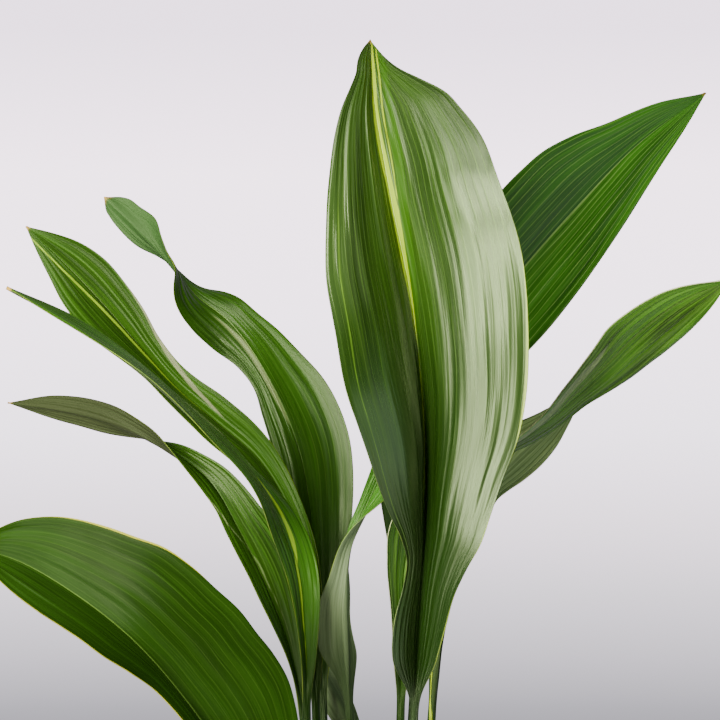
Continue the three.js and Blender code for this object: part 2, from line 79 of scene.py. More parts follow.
def add_node(tree: bpy.types.NodeTree, kind: str, links: dict | None = None,
             **settings: object) -> bpy.types.Node:
    """Adds one node with its settings, and feeds its inputs.

    Args:
        tree: the node tree that gets the node.
        kind: the node's type name.
        links: input name or number, with either a value or another node's output socket.
        **settings: the node's own properties.

    Returns:
        The new node.
    """
    node = tree.nodes.new(kind)
    for name, value in settings.items():
        setattr(node, name, value)
    for key, value in (links or {}).items():
        if isinstance(value, bpy.types.NodeSocket):
            tree.links.new(value, node.inputs[key])
        else:
            node.inputs[key].default_value = value
    return node


def empty_tree(owner: bpy.types.Material | bpy.types.World) -> AddNode:
    """Switches on the nodes of a new material or world, and clears them.

    Args:
        owner: the material or world.

    Returns:
        add_node, bound to the owner's tree.
    """
    owner.use_nodes = True
    owner.node_tree.nodes.clear()
    return partial(add_node, owner.node_tree)


def smoothstep(x: np.ndarray, low: float, high: float) -> np.ndarray:
    """The soft step 3q^2 - 2q^3, with q the share of the way from low to high, from 0 to 1."""
    q = np.clip((x - low) / (high - low), 0, 1)
    return q * q * (3 - 2 * q)


def knot_slopes(knots: np.ndarray, values: np.ndarray) -> np.ndarray:
    """Slopes of a smooth curve through values at increasing knots.

    Each is the mean of its two neighbouring secants, weighted so that the shorter side counts
    more; the end slopes are the end secants.

    Args:
        knots: increasing positions.
        values: one row of values for each knot.

    Returns:
        One row of slopes for each knot.
    """
    steps = np.diff(knots)[:, None]
    secants = np.diff(values, axis=0) / steps
    inner = (steps[1:] * secants[:-1] + steps[:-1] * secants[1:]) / (steps[1:] + steps[:-1])
    return np.concatenate([secants[:1], inner, secants[-1:]])


def hermite(knots: np.ndarray, values: np.ndarray, slopes: np.ndarray, x: np.ndarray) -> np.ndarray:
    """The cubic Hermite curve through rows of values, held level beyond both ends.

    With q the share of the way between two knots and p = 1 - q, the curve is
    p^2 (1 + 2q) v0 + q p^2 h m0 + q^2 (3 - 2q) v1 - q^2 p h m1.

    Args:
        knots: increasing positions.
        values: one row of values for each knot.
        slopes: one row of slopes for each knot.
        x: where the curve is wanted.

    Returns:
        One row for each x.
    """
    at = np.clip(x, knots[0], knots[-1])
    i = np.clip(np.searchsorted(knots, at) - 1, 0, len(knots) - 2)
    h = (knots[i + 1] - knots[i])[:, None]
    q = (at - knots[i])[:, None] / h
    p = 1 - q
    return (p * p * (1 + 2 * q) * values[i] + q * p * p * h * slopes[i]
            + q * q * (3 - 2 * q) * values[i + 1] - q * q * p * h * slopes[i + 1])


def along_keys(rows: Rows, x: np.ndarray, column: int = 1) -> np.ndarray:
    """One column of a table of keys as a smooth curve, read at x.

    Args:
        rows: the keys, each with its position first.
        x: where the curve is wanted.
        column: which value of a key is read.

    Returns:
        One value for each x.
    """
    table = np.array(rows, float)
    knots, values = table[:, 0], table[:, column:column + 1]
    return hermite(knots, values, knot_slopes(knots, values), x)[:, 0]


def running_length(path: np.ndarray) -> np.ndarray:
    """Length along a path from its first point to each of its points.

    Args:
        path: the points, one in a row.

    Returns:
        One length for each point, the first of them 0.
    """
    return np.concatenate([[0], np.cumsum(np.linalg.norm(np.diff(path, axis=0), axis=1))])


def value_noise(x: np.ndarray, y: np.ndarray, seed: int) -> np.ndarray:
    """Smooth random heights from 0 to 1 over a plane.

    Each pair of whole numbers has a random value, and between them the four values around a
    point are blended by the soft step of its x and y.

    Args:
        x: first coordinate.
        y: second coordinate, of the same shape.
        seed: picks the random table.

    Returns:
        Heights of x's shape.
    """
    size = 256
    table = np.random.default_rng(seed).random((size, size))
    i, j = np.floor(x).astype(int), np.floor(y).astype(int)
    p, q = smoothstep(x - i, 0, 1), smoothstep(y - j, 0, 1)
    low, high = (table[i % size, (j + up) % size] * (1 - p)
                 + table[(i + 1) % size, (j + up) % size] * p for up in (0, 1))
    return low * (1 - q) + high * q


def grid_faces(rows: int, columns: int) -> np.ndarray:
    """Quads between neighbouring points of a grid whose loops close on themselves.

    Args:
        rows: loops of the grid.
        columns: points in a loop.

    Returns:
        An array of four indices a quad, running from a point to its next in the loop, then on to
        the next loop.
    """
    r, c = np.meshgrid(np.arange(rows - 1), np.arange(columns), indexing="ij")
    a = (r * columns + c).ravel()
    b = (r * columns + (c + 1) % columns).ravel()
    return np.stack([a, b, b + columns, a + columns], axis=1)


def turned(path: np.ndarray, sectors: int) -> tuple[np.ndarray, list[np.ndarray]]:
    """Turns a half section about the upright axis, with a fan of triangles at each pole.

    Args:
        path: rows of radius and height, from the axis underneath round to the axis on top.
        sectors: how many steps go round.

    Returns:
        The points, with the lower and the upper pole last, and the faces, outward side out.
    """
    angle = np.linspace(0, 2 * np.pi, sectors, endpoint=False)
    radius, height = path[1:-1, 0, None], path[1:-1, 1, None]
    rings = np.stack([radius * np.cos(angle), radius * np.sin(angle), height + 0 * angle], axis=-1)
    poles = [[0, 0, path[0, 1]], [0, 0, path[-1, 1]]]
    points = np.concatenate([rings.reshape(-1, 3), poles])
    count = len(points) - 2
    k = np.arange(sectors)
    after = (k + 1) % sectors
    last = count - sectors
    lower = np.stack([np.full(sectors, count), after, k], axis=1)
    upper = np.stack([np.full(sectors, count + 1), last + k, last + after], axis=1)
    return points, [grid_faces(len(path) - 2, sectors), lower, upper]


def make_object(name: str, points: np.ndarray, faces: list[np.ndarray]) -> bpy.types.Object:
    """Puts a worked-out surface into a smooth-shaded mesh object.

    Args:
        name: the object's name.
        points: its vertices, in millimetres.
        faces: arrays of quads or triangles.

    Returns:
        The new object, in metres, at the origin.
    """
    mesh = bpy.data.meshes.new(name)
    corners = np.concatenate([f.ravel() for f in faces]).astype(np.int32)
    counts = np.concatenate([np.full(len(f), f.shape[1], np.int32) for f in faces])
    starts = np.concatenate([[0], np.cumsum(counts)[:-1]]).astype(np.int32)
    mesh.vertices.add(len(points))
    mesh.vertices.foreach_set("co", (points * MM).astype(np.float32).ravel())
    mesh.loops.add(len(corners))
    mesh.loops.foreach_set("vertex_index", corners)
    mesh.polygons.add(len(counts))
    mesh.polygons.foreach_set("loop_start", starts)
    mesh.polygons.foreach_set("use_smooth", np.ones(len(counts), bool))
    mesh.update(calc_edges=True)
    mesh.validate()
    obj = bpy.data.objects.new(name, mesh)
    bpy.context.scene.collection.objects.link(obj)
    return obj


def make_piece(name: str, points: np.ndarray, faces: list[np.ndarray],
               replaced: tuple[str, ...] = ()) -> bpy.types.Object:
    """Puts a worked-out surface into a smooth-shaded mesh that rides on the plant's one body.

    Args:
        name: the piece's name.
        points: its vertices, in millimetres.
        faces: arrays of quads or triangles.
        replaced: the frame's nodes that it stands for.

    Returns:
        The new object.
    """
    obj = make_object(name, points, faces)
    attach(obj, "root")
    if replaced:
        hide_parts(*replaced)
    LOG.info("%s: %d points", name, len(points))
    return obj


def set_values(obj: bpy.types.Object, name: str, values: np.ndarray) -> None:
    """Gives each vertex of a piece a named number or vector for its material to read.

    Args:
        obj: the piece.
        name: what the material asks for.
        values: one number or one row of three for each vertex.
    """
    single = values.ndim == 1
    attribute = obj.data.attributes.new(name, "FLOAT" if single else "FLOAT_VECTOR", "POINT")
    attribute.data.foreach_set("value" if single else "vector", values.astype(np.float32).ravel())


# ---------------------------------------------------------------- leaf forms


class Face(Enum):
    """The two faces of a blade, as the sign that its thickness is laid off with."""

    UPPER = 1.0
    LOWER = -1.0


@dataclass(frozen=True)
class Wave:
    """A margin's wave: its height, how often it comes, and each half's start as a share of it."""

    height: float
    count: float
    left_phase: float
    right_phase: float


@dataclass(frozen=True)
class LeafForm:
    """Where one leaf runs and how wide, turned, folded and waved its blade is.

    root is the petiole's place in the soil and midrib the points from there to the tip. The
    blade begins at the second of them. Against the blade's length from 0 to 1 go the widths of
    its two halves, the roll about the midrib (0 faces the front), the fold, by which each half
    rises from flat, and the arch, by which it flattens again towards the margin. A crease is at a
    share of the half blade, and the part inside it is steeper by its angle. Lengths are
    millimetres and angles degrees.
    """

    name: str
    root: tuple[float, float]
    midrib: Rows
    width: Rows
    roll: Rows
    fold: Rows
    wave: Wave
    arch: Rows = ((0, 16), (1, 16))
    crease: Rows = ((0, 0.5, 0), (1, 0.5, 0))


LEAF_FORMS = (
    LeafForm(
        name="leaf_front", root=(22, -44),
        midrib=((29, -52, 311), (31, -64, 413), (33, -72, 458), (37, -84, 526), (36, -90, 592),
                (29, -90, 653), (17, -78, 715), (9, -56, 764), (6, -24, 809)),
        width=((0, 3, 3), (0.05, 16, 13.5), (0.1, 23.6, 20.6), (0.15, 22.2, 26.2), (0.2, 16, 30.5),
               (0.235, 15.5, 37), (0.27, 23.6, 45.2), (0.3, 34, 48.4), (0.35, 48.2, 53),
               (0.4, 58, 60.5), (0.46, 63.2, 67.8), (0.54, 59.8, 74.5), (0.62, 55, 76.5),
               (0.7, 44.3, 70.8), (0.76, 36.3, 64.3), (0.82, 28.4, 52.4), (0.86, 22.3, 43.2),
               (0.9, 14.9, 28.1), (0.93, 10.4, 16.4), (0.955, 8.8, 9.3), (0.98, 4.9, 3.9),
               (1, 0, 0)),
        roll=((0, 0), (0.2, 3), (0.3, -5), (0.38, -11), (0.54, -4), (0.7, 2), (0.85, -2), (1, -5)),
        fold=((0, 62), (0.11, 56), (0.235, 48), (0.38, 36), (0.54, 30), (0.7, 23), (0.85, 20),
              (1, 18)),
        wave=Wave(1.5, 4, 0.2, 0.6),
        arch=((0, 16), (0.3, 36), (0.45, 34), (0.6, 28), (0.75, 24), (0.88, 16), (1, 16)),
        crease=((0, 0.46, 0), (0.2, 0.46, 0), (0.3, 0.46, 10), (0.38, 0.46, 13), (0.5, 0.51, 11),
                (0.6, 0.56, 11), (0.7, 0.6, 10), (0.8, 0.58, 6), (0.9, 0.5, 2), (1, 0.5, 0))),
    LeafForm(
        name="leaf_right_high", root=(-4, -28),
        midrib=((-6, -32, 307), (-6, -36, 409), (-8, -38, 445), (-9, -38, 479), (-6, -34, 511),
                (5, -26, 535), (28, -14, 580), (62, -2, 630), (99, 10, 676), (132, 20, 713),
                (169, 34, 751), (215, 54, 786)),
        width=((0, 3, 3), (0.05, 9, 14), (0.08, 9, 19.5), (0.1, 6.5, 18.5), (0.13, 4.5, 16),
               (0.15, 5, 14), (0.18, 6, 9.5), (0.22, 7, 8.5), (0.28, 5.5, 12), (0.36, 12, 16),
               (0.45, 30, 26), (0.6, 44, 35.7), (0.66, 47, 34.5), (0.72, 47.5, 32),
               (0.76, 45.5, 30), (0.8, 38.5, 27.5), (0.85, 26.5, 23), (0.94, 12, 11), (1, 0, 0)),
        roll=((0, 180), (0.12, 165), (0.2, 110), (0.25, 70), (0.32, 15), (0.45, 0), (0.7, -15),
              (1, -20)),
        fold=((0, 60), (0.1, 35), (0.25, 20), (0.5, 20), (1, 10)),
        wave=Wave(1.5, 4, 0.1, 0.5)),
    LeafForm(
        name="leaf_right_low", root=(16, -8),
        midrib=((22, -12, 303), (24, -18, 407), (25, -22, 452), (27, -26, 502), (37, -29, 541),
                (59, -31, 562), (90, -33, 572), (109, -35, 585), (126, -41, 601), (142, -49, 617),
                (156, -59, 632), (178, -80, 651), (206, -108, 665)),
        width=((0, 3, 3), (0.1, 6.5, 10), (0.2, 9, 14), (0.25, 12.5, 16), (0.3, 17, 18.3),
               (0.35, 19, 20), (0.5, 22, 22), (0.6, 22, 22), (0.65, 21.5, 20), (0.7, 19.8, 22),
               (0.75, 20.8, 24), (0.8, 22.8, 24), (0.87, 18, 20), (0.95, 8, 10), (1, 0, 0)),
        roll=((0, 10), (0.3, -20), (0.4, -65), (0.5, -82), (0.6, -72), (0.72, -48), (0.85, -40),
              (1, -30)),
        fold=((0, 60), (0.2, 30), (0.4, 10), (0.7, 8), (1, 15)),
        wave=Wave(1, 3, 0.2, 0.6)),
    LeafForm(
        name="leaf_right_folded", root=(40, -16),
        midrib=((40, -22, 305), (42, -32, 409), (46, -34, 455), (53, -28, 502), (69, -14, 537),
                (90, 2, 560), (113, 12, 580), (132, 22, 594)),
        width=((0, 3, 3), (0.1, 4, 7), (0.2, 4.2, 11.2), (0.3, 7, 16), (0.4, 12.5, 20),
               (0.5, 15.5, 24), (0.6, 14.5, 26), (0.65, 13.2, 25.6), (0.7, 15, 24.6),
               (0.75, 17.5, 22.8), (0.8, 18.3, 19.5), (0.85, 17, 14.5), (0.9, 13.8, 10.3),
               (0.94, 9.5, 8), (0.97, 5.8, 5), (1, 0, 0)),
        roll=((0, 185), (0.4, 190), (0.7, 185), (1, 180)),
        fold=((0, 62), (0.5, 45), (1, 20)),
        wave=Wave(1, 3, 0.2, 0.6)),
    LeafForm(
        name="leaf_left_high", root=(-14, 14),
        midrib=((-20, 8, 298), (-22, 10, 403), (-24, 14, 448), (-28, 24, 508), (-37, 36, 564),
                (-54, 50, 604), (-81, 66, 643), (-105, 80, 662), (-121, 92, 682), (-141, 104, 703),
                (-165, 118, 725)),
        width=((0, 3, 3), (0.12, 10, 12), (0.2, 15.5, 22), (0.25, 18, 30), (0.3, 20, 34),
               (0.35, 19, 37.5), (0.4, 17.5, 39.3), (0.45, 16, 38.8), (0.5, 14, 36),
               (0.55, 11.5, 29.8), (0.6, 14, 23.5), (0.65, 20, 17), (0.7, 23, 15.5),
               (0.75, 22.5, 14), (0.8, 12, 8.5), (0.83, 7.5, 7.5), (0.86, 9, 8), (0.9, 12.8, 10.2),
               (0.94, 11, 9.5), (0.97, 9.5, 7.5), (0.985, 6, 5.5), (1, 0, 0)),
        roll=((0, 0), (0.4, 10), (0.65, -5), (0.76, -60), (0.82, -100), (0.9, -160), (1, -180)),
        fold=((0, 60), (0.3, 30), (0.6, 15), (0.8, 10), (1, 10)),
        wave=Wave(1.5, 4, 0.3, 0.8),
        arch=((0, 16), (0.2, 50), (0.45, 50), (0.65, 16), (1, 16))),
    LeafForm(
        name="leaf_left_edge_on", root=(-27, -38),
        midrib=((-30, -40, 309), (-31, -44, 410), (-32, -46, 455), (-37, -52, 504), (-59, -60, 549),
                (-95, -62, 586), (-124, -58, 612), (-156, -50, 635), (-207, -34, 663)),
        width=((0, 3, 3), (0.15, 5, 9), (0.3, 13, 12), (0.42, 20, 20), (0.55, 24, 24),
               (0.7, 24, 24), (0.86, 14, 14), (0.95, 6, 6), (1, 0, 0)),
        roll=((0, -5), (0.2, -15), (0.33, -48), (0.42, -79), (0.55, -88), (0.75, -86), (1, -78)),
        fold=((0, 55), (0.2, 30), (0.35, 6), (0.6, 3), (1, 3)),
        wave=Wave(1, 3, 0.2, 0.6)),
    LeafForm(
        name="leaf_left_back", root=(-24, -10),
        midrib=((-22, -14, 303), (-26, -16, 406), (-28, -16, 457), (-38, -14, 521), (-62, -8, 562),
                (-88, -2, 584), (-110, 4, 603), (-131, 10, 626), (-152, 16, 650), (-172, 22, 671),
                (-205, 34, 702)),
        width=((0, 3, 3), (0.15, 8, 8), (0.35, 18, 10), (0.45, 22, 14), (0.5, 23, 16),
               (0.55, 22, 16), (0.6, 20.6, 14.2), (0.65, 20.5, 13.3), (0.7, 25, 15),
               (0.75, 29, 19.5), (0.8, 27, 21.5), (0.85, 22, 22), (0.89, 16, 19), (0.96, 6, 8),
               (1, 0, 0)),
        roll=((0, 0), (0.4, -20), (0.6, -20), (0.8, -10), (1, 0)),
        fold=((0, 50), (0.4, 40), (0.7, 45), (1, 20)),
        wave=Wave(1, 3, 0.2, 0.6)),
    LeafForm(
        name="leaf_left_mid", root=(-42, -22),
        midrib=((-36, -28, 306), (-33, -30, 408), (-41, -32, 448), (-55, -34, 487), (-72, -34, 522),
                (-88, -32, 548), (-118, -28, 570), (-146, -18, 583), (-180, 0, 591),
                (-213, 18, 594)),
        width=((0, 3, 3), (0.12, 5, 10), (0.2, 9.5, 17), (0.25, 12, 21), (0.3, 13, 23),
               (0.35, 12.5, 22.3), (0.4, 10.5, 20), (0.45, 8.5, 17), (0.5, 9.5, 13),
               (0.55, 10, 9.3), (0.62, 9, 8.5), (0.68, 8, 9), (0.76, 9.5, 10), (0.82, 9.5, 9),
               (0.9, 7, 7), (1, 0, 0)),
        roll=((0, -20), (0.3, -25), (0.5, -25), (0.58, -60), (0.66, -110), (0.76, -160), (1, -180)),
        fold=((0, 50), (0.4, 32), (0.7, 20), (1, 10)),
        wave=Wave(1, 3, 0.2, 0.6)),
    LeafForm(
        name="leaf_left_low", root=(-15, -54),
        midrib=((-27, -68, 257), (-43, -90, 329), (-69, -108, 388), (-96, -118, 431),
                (-127, -122, 467), (-159, -116, 491), (-192, -104, 508), (-222, -90, 515)),
        width=((0, 3, 3), (0.1, 14, 17), (0.2, 20, 34), (0.25, 22, 42), (0.3, 22, 49),
               (0.35, 21.5, 54), (0.4, 20, 55), (0.45, 19.5, 54), (0.5, 22, 54), (0.55, 29.5, 52.3),
               (0.6, 36.5, 52.2), (0.65, 36, 51), (0.7, 34, 46), (0.75, 31, 41.5), (0.85, 22, 30),
               (0.95, 8, 12), (1, 0, 0)),
        roll=((0, -20), (0.25, -38), (0.55, -36), (0.8, -30), (1, -30)),
        fold=((0, 50), (0.3, 38), (0.55, 36), (0.8, 28), (1, 15)),
        wave=Wave(1.5, 3, 0.3, 0.7)),
    LeafForm(
        name="leaf_inner_small", root=(8, 24),
        midrib=((8, 22, 295), (3, 20, 367), (-10, 18, 405), (-22, 20, 427), (-35, 24, 449),
                (-45, 30, 475)),
        width=((0, 3, 3), (0.2, 7, 7), (0.5, 10, 10), (0.8, 7, 7), (1, 0, 0)),
        roll=((0, 180), (1, 160)),
        fold=((0, 30), (1, 10)),
        wave=Wave(0.5, 2, 0.2, 0.6)),
    LeafForm(
        name="leaf_back_tall", root=(18, 44),
        midrib=((26, 58, 300), (34, 78, 420), (38, 104, 540), (43, 140, 640), (47, 190, 715),
                (50, 240, 748)),
        width=((0, 3, 3), (0.1, 14, 14), (0.3, 32, 34), (0.5, 42, 43), (0.7, 38, 39),
               (0.88, 20, 20), (0.96, 8, 8), (1, 0, 0)),
        roll=((0, 0), (1, -8)),
        fold=((0, 60), (0.2, 40), (0.6, 22), (1, 15)),
        wave=Wave(2, 4, 0.1, 0.6)),
    LeafForm(
        name="leaf_low_right", root=(36, -36),
        midrib=((58, -50, 250), (98, -62, 312), (150, -70, 344), (205, -72, 346), (262, -66, 320)),
        width=((0, 3, 3), (0.12, 14, 13), (0.35, 36, 34), (0.55, 41, 40), (0.75, 33, 32),
               (0.9, 16, 15), (1, 0, 0)),
        roll=((0, 60), (0.4, 66), (1, 74)),
        fold=((0, 58), (0.25, 36), (0.6, 20), (1, 14)),
        wave=Wave(2, 4, 0.3, 0.8)),
    LeafForm(
        name="leaf_low_back", root=(-32, 20),
        midrib=((-50, 50, 250), (-86, 96, 300), (-130, 146, 320), (-176, 194, 310),
                (-216, 236, 276)),
        width=((0, 3, 3), (0.12, 13, 14), (0.35, 34, 36), (0.55, 40, 41), (0.75, 32, 33),
               (0.9, 15, 16), (1, 0, 0)),
        roll=((0, -60), (0.4, -70), (1, -80)),
        fold=((0, 58), (0.25, 36), (0.6, 20), (1, 14)),
        wave=Wave(2, 4, 0.2, 0.7)),
)


# ---------------------------------------------------------------- leaf finishes


@dataclass(frozen=True)
class LeafFinish:
    """Colours and markings of one leaf.

    stripe, second_stripe and bright_band are rows of (share along the blade, place across in
    millimetres from the midrib, half width in millimetres), line_and_sheen the same with its place
    as a share of the half blade: a pale line on some leaves, and on others a painted grey sheen
    band where the blade turns away. margin is rows of (share along, left, right), the width in
    millimetres by which each margin is bleached. A half width below zero hides the marking. Up to
    foot_shade_reach, in millimetres along the blade, its foot is darker: painted shade. wax is the
    strength of the cuticle's gloss, relief that of the bumps in it, and veining how far the veins
    show. pleat scales the heights of the leaf's soft pleats, and seed tells its random values from
    another's.
    """

    # base: the darker colour of the blade's foot, painted shade
    base: str = "#122504"
    deep: str = "#172c06"
    green: str = "#253f09"
    light: str = "#37540e"
    vein: str = "#56722c"
    under: str = "#263417"
    under_light: str = "#4a5a34"
    yellow: str = "#a3b800"
    bright: str = "#3d7604"
    # line_and_sheen_tone: the colour of a pale line on some leaves, and of a painted grey sheen
    # band on others
    line_and_sheen_tone: str = "#9aa56a"
    margin_tone: str = "#8fa22c"
    stripe: Rows = ()
    second_stripe: Rows = ()
    bright_band: Rows = ()
    line_and_sheen: Rows = ()
    margin: Rows = ((0, 0.25, 0.25), (1, 0.25, 0.25))
    roughness: float = 0.27
    wax: float = 0.22
    relief: float = 0.4
    veining: float = 0.25
    foot_shade_reach: float = 130
    pleat: float = 1.0
    seed: int = 1


LEAF_FINISHES: dict[str, LeafFinish] = {
    # The front leaf's foot is darkened over a long reach: painted shade where the window light
    # falls less.
    "leaf_front": LeafFinish(
        seed=1, roughness=0.25, wax=0.78, relief=1, veining=0.3, foot_shade_reach=330, base="#0e2303",
        deep="#172a07", green="#213a09", light="#2f4a0e", bright="#274a02", yellow="#849a00",
        stripe=((0, -8, -4), (0.25, -7.5, -1.5), (0.313, -6.5, 0.3), (0.368, -5.1, 0.5),
                (0.446, -2.6, 0.6), (0.5, -0.9, 0.9), (0.544, 0, 1.2), (0.585, 0, 2),
                (0.625, 0, 2.8), (0.68, 1.2, 3.1), (0.74, 1.1, 2.9), (0.8, 0, 2.6), (0.85, -0.1, 2),
                (0.92, 0.9, 1.3), (1, 0.9, 0.3)),
        second_stripe=((0, 1, -4), (0.6, 1, -1.5), (0.68, 3.6, 0.3), (0.74, 5.5, 0.5),
                       (0.8, 5.7, 0.5), (0.845, 4.9, 0.5), (0.92, 4.5, 0.5), (0.976, 3.2, 0.4),
                       (1, 3, 0)),
        bright_band=((0, 0, -8), (0.5, 1, -1), (0.544, 2.2, 1.8), (0.58, 3.4, 3), (0.62, 4.6, 4.2),
                     (0.68, 7.8, 4.4), (0.74, 9.8, 4), (0.8, 10.2, 4), (0.915, 7.8, 2.8),
                     (1, 3, 3)),
        line_and_sheen=((0, -0.9, -1), (0.2, -0.9, 0), (0.39, -0.89, 0.3), (0.55, -0.86, 0.35),
               (0.7, -0.84, 0.2), (0.8, -0.84, -1), (1, -0.84, -3)),
        line_and_sheen_tone="#7fae2c",
        margin=((0, 0.2, 0.2), (0.13, 0.2, 0.5), (0.18, 0.2, 0.5), (0.23, 0.2, 0.1),
                (0.28, 0.2, 0.7), (0.33, 0.2, 0.2), (0.38, 0.2, 0.5), (0.42, 0.2, 1.6),
                (0.48, 0.2, 2), (0.53, 0.2, 1.6), (0.58, 0.2, 0.9), (0.63, 0.2, 0.5),
                (0.7, 0.2, 0.1), (1, 0.3, 0.3))),
    "leaf_right_high": LeafFinish(
        seed=2, wax=0.25, veining=0.5, deep="#1a3c09", green="#29580e", light="#3b7015",
        vein="#7f9c4c", under="#55683e", under_light="#8b9870"),
    "leaf_right_low": LeafFinish(
        seed=3, wax=0.3, veining=0.6, pleat=2.2, green="#3a6814", light="#57861f",
        under="#7f8c60", under_light="#abb18a",
        # A painted grey sheen band along the upper half, where the twisted blade turns away.
        line_and_sheen=((0, -0.4, -3), (0.42, -0.45, -1), (0.5, -0.5, 4), (0.6, -0.55, 5.5), (0.7, -0.6, 4),
               (0.8, -0.6, -1), (1, -0.6, -3)),
        line_and_sheen_tone="#7d8463",
        margin=((0, 0.3, 0.3), (0.5, 0.4, 0.8), (0.8, 0.4, 0.8), (1, 0.3, 0.3)),
        margin_tone="#cfcf96"),
    # Its lower side is pale with strong dark green vein lines. This is partly its own colour and
    # veins, partly painted light on a side in the other leaves' shade, and partly painted shade in
    # its pleats' grooves.
    "leaf_right_folded": LeafFinish(
        seed=4, veining=0.9, pleat=2.4, green="#1f350a", under="#43552b", under_light="#7d8f58",
        stripe=((0, 0.3, 0.8), (0.1, 3.4, 1.1), (0.16, 4, 1), (0.24, 4.2, -0.8), (1, 4, -4))),
    # Its greens are darker than the others', and its foot nearly black over a long reach: painted
    # shade of a leaf lit less, at the left of the plant.
    "leaf_left_high": LeafFinish(
        seed=5, wax=0.28, relief=0.8, foot_shade_reach=260, base="#0a1a02", deep="#132804",
        green="#1f3d06", light="#2d520b", under="#27431a", under_light="#355325",
        # A painted olive-grey sheen band along the midrib.
        line_and_sheen=((0, 0, -3), (0.42, 0, -2), (0.5, -0.1, 1.6), (0.6, -0.1, 2.4), (0.68, -0.2, 1),
               (0.8, -0.2, -2), (1, 0, -3)),
        line_and_sheen_tone="#707a4a"),
    "leaf_left_edge_on": LeafFinish(
        seed=6, green="#254c09", light="#3a6510", yellow="#75921c",
        stripe=((0, 1, -2), (0.1, 0.8, 0), (0.134, 0.4, 0.3), (0.18, -1.1, 0.6), (0.223, -1.4, 0.9),
                (0.27, -1, 1.2), (0.313, 1.6, 1.3), (0.35, 2.6, 1.1), (0.388, 3.8, 1),
                (0.418, 4.2, 0.7), (0.48, 4.4, -1), (1, 4, -4)),
        line_and_sheen=((0, 0.5, -2), (0.4, 0.5, -0.6), (0.463, 0.56, 0.5), (0.5, 0.8, 0.6),
               (0.6, 0.95, 0.5), (0.7, 0.96, -0.8), (1, 0.96, -2))),
    "leaf_left_back": LeafFinish(
        seed=7, wax=0.15, green="#213e09", light="#35580f", yellow="#75921c",
        stripe=((0, 0, -3), (0.5, 0, -0.8), (0.56, -0.6, 0.5), (0.61, -1, 0.8), (0.7, -3, 1.1),
                (0.8, -4.6, 1.1), (0.86, -5, 0.8), (1, -3, 0.4)),
        # A painted grey sheen strip along the right half.
        line_and_sheen=((0, 0.4, -2), (0.5, 0.38, -1), (0.545, 0.41, 1), (0.577, 0.52, 1.4),
               (0.632, 0.76, 1.8), (0.695, 0.97, 1.8), (0.764, 1, 1.2), (0.84, 1, -1), (1, 1, -2)),
        line_and_sheen_tone="#8a8a66"),
    # Its lower side is nearly black, far darker than a leaf's paler underside: painted shade.
    "leaf_left_mid": LeafFinish(
        seed=8, light="#3f6e14", vein="#64843a", under="#1a1f0c", under_light="#31371c",
        # A painted pale-grey sheen band along the blade.
        line_and_sheen=((0, 0.2, -1), (0.212, 0.18, 0.4), (0.274, 0.09, 0.5), (0.346, 0, 0.6),
               (0.4, -0.46, 0.6), (0.48, -1, 0.4), (0.56, -1, -1), (1, -1, -3)),
        line_and_sheen_tone="#96a468"),
    # Its greens are darker than the others': painted shade of a leaf lit less, at the left of the
    # plant.
    "leaf_left_low": LeafFinish(
        seed=9, wax=0.06, relief=0.3, veining=0.1, deep="#122504", green="#193206", light="#223d09",
        margin=((0, 0.4, 0.5), (0.6, 0.4, 0.7), (0.65, 0.4, 1.3), (0.76, 0.4, 1.4),
                (0.85, 0.4, 0.6), (1, 0.5, 0.5)),
        margin_tone="#a5a02c"),
    "leaf_inner_small": LeafFinish(seed=10, under="#55683e", under_light="#8b9870"),
    "leaf_back_tall": LeafFinish(seed=11),
    "leaf_low_right": LeafFinish(seed=12),
    "leaf_low_back": LeafFinish(seed=13),
}


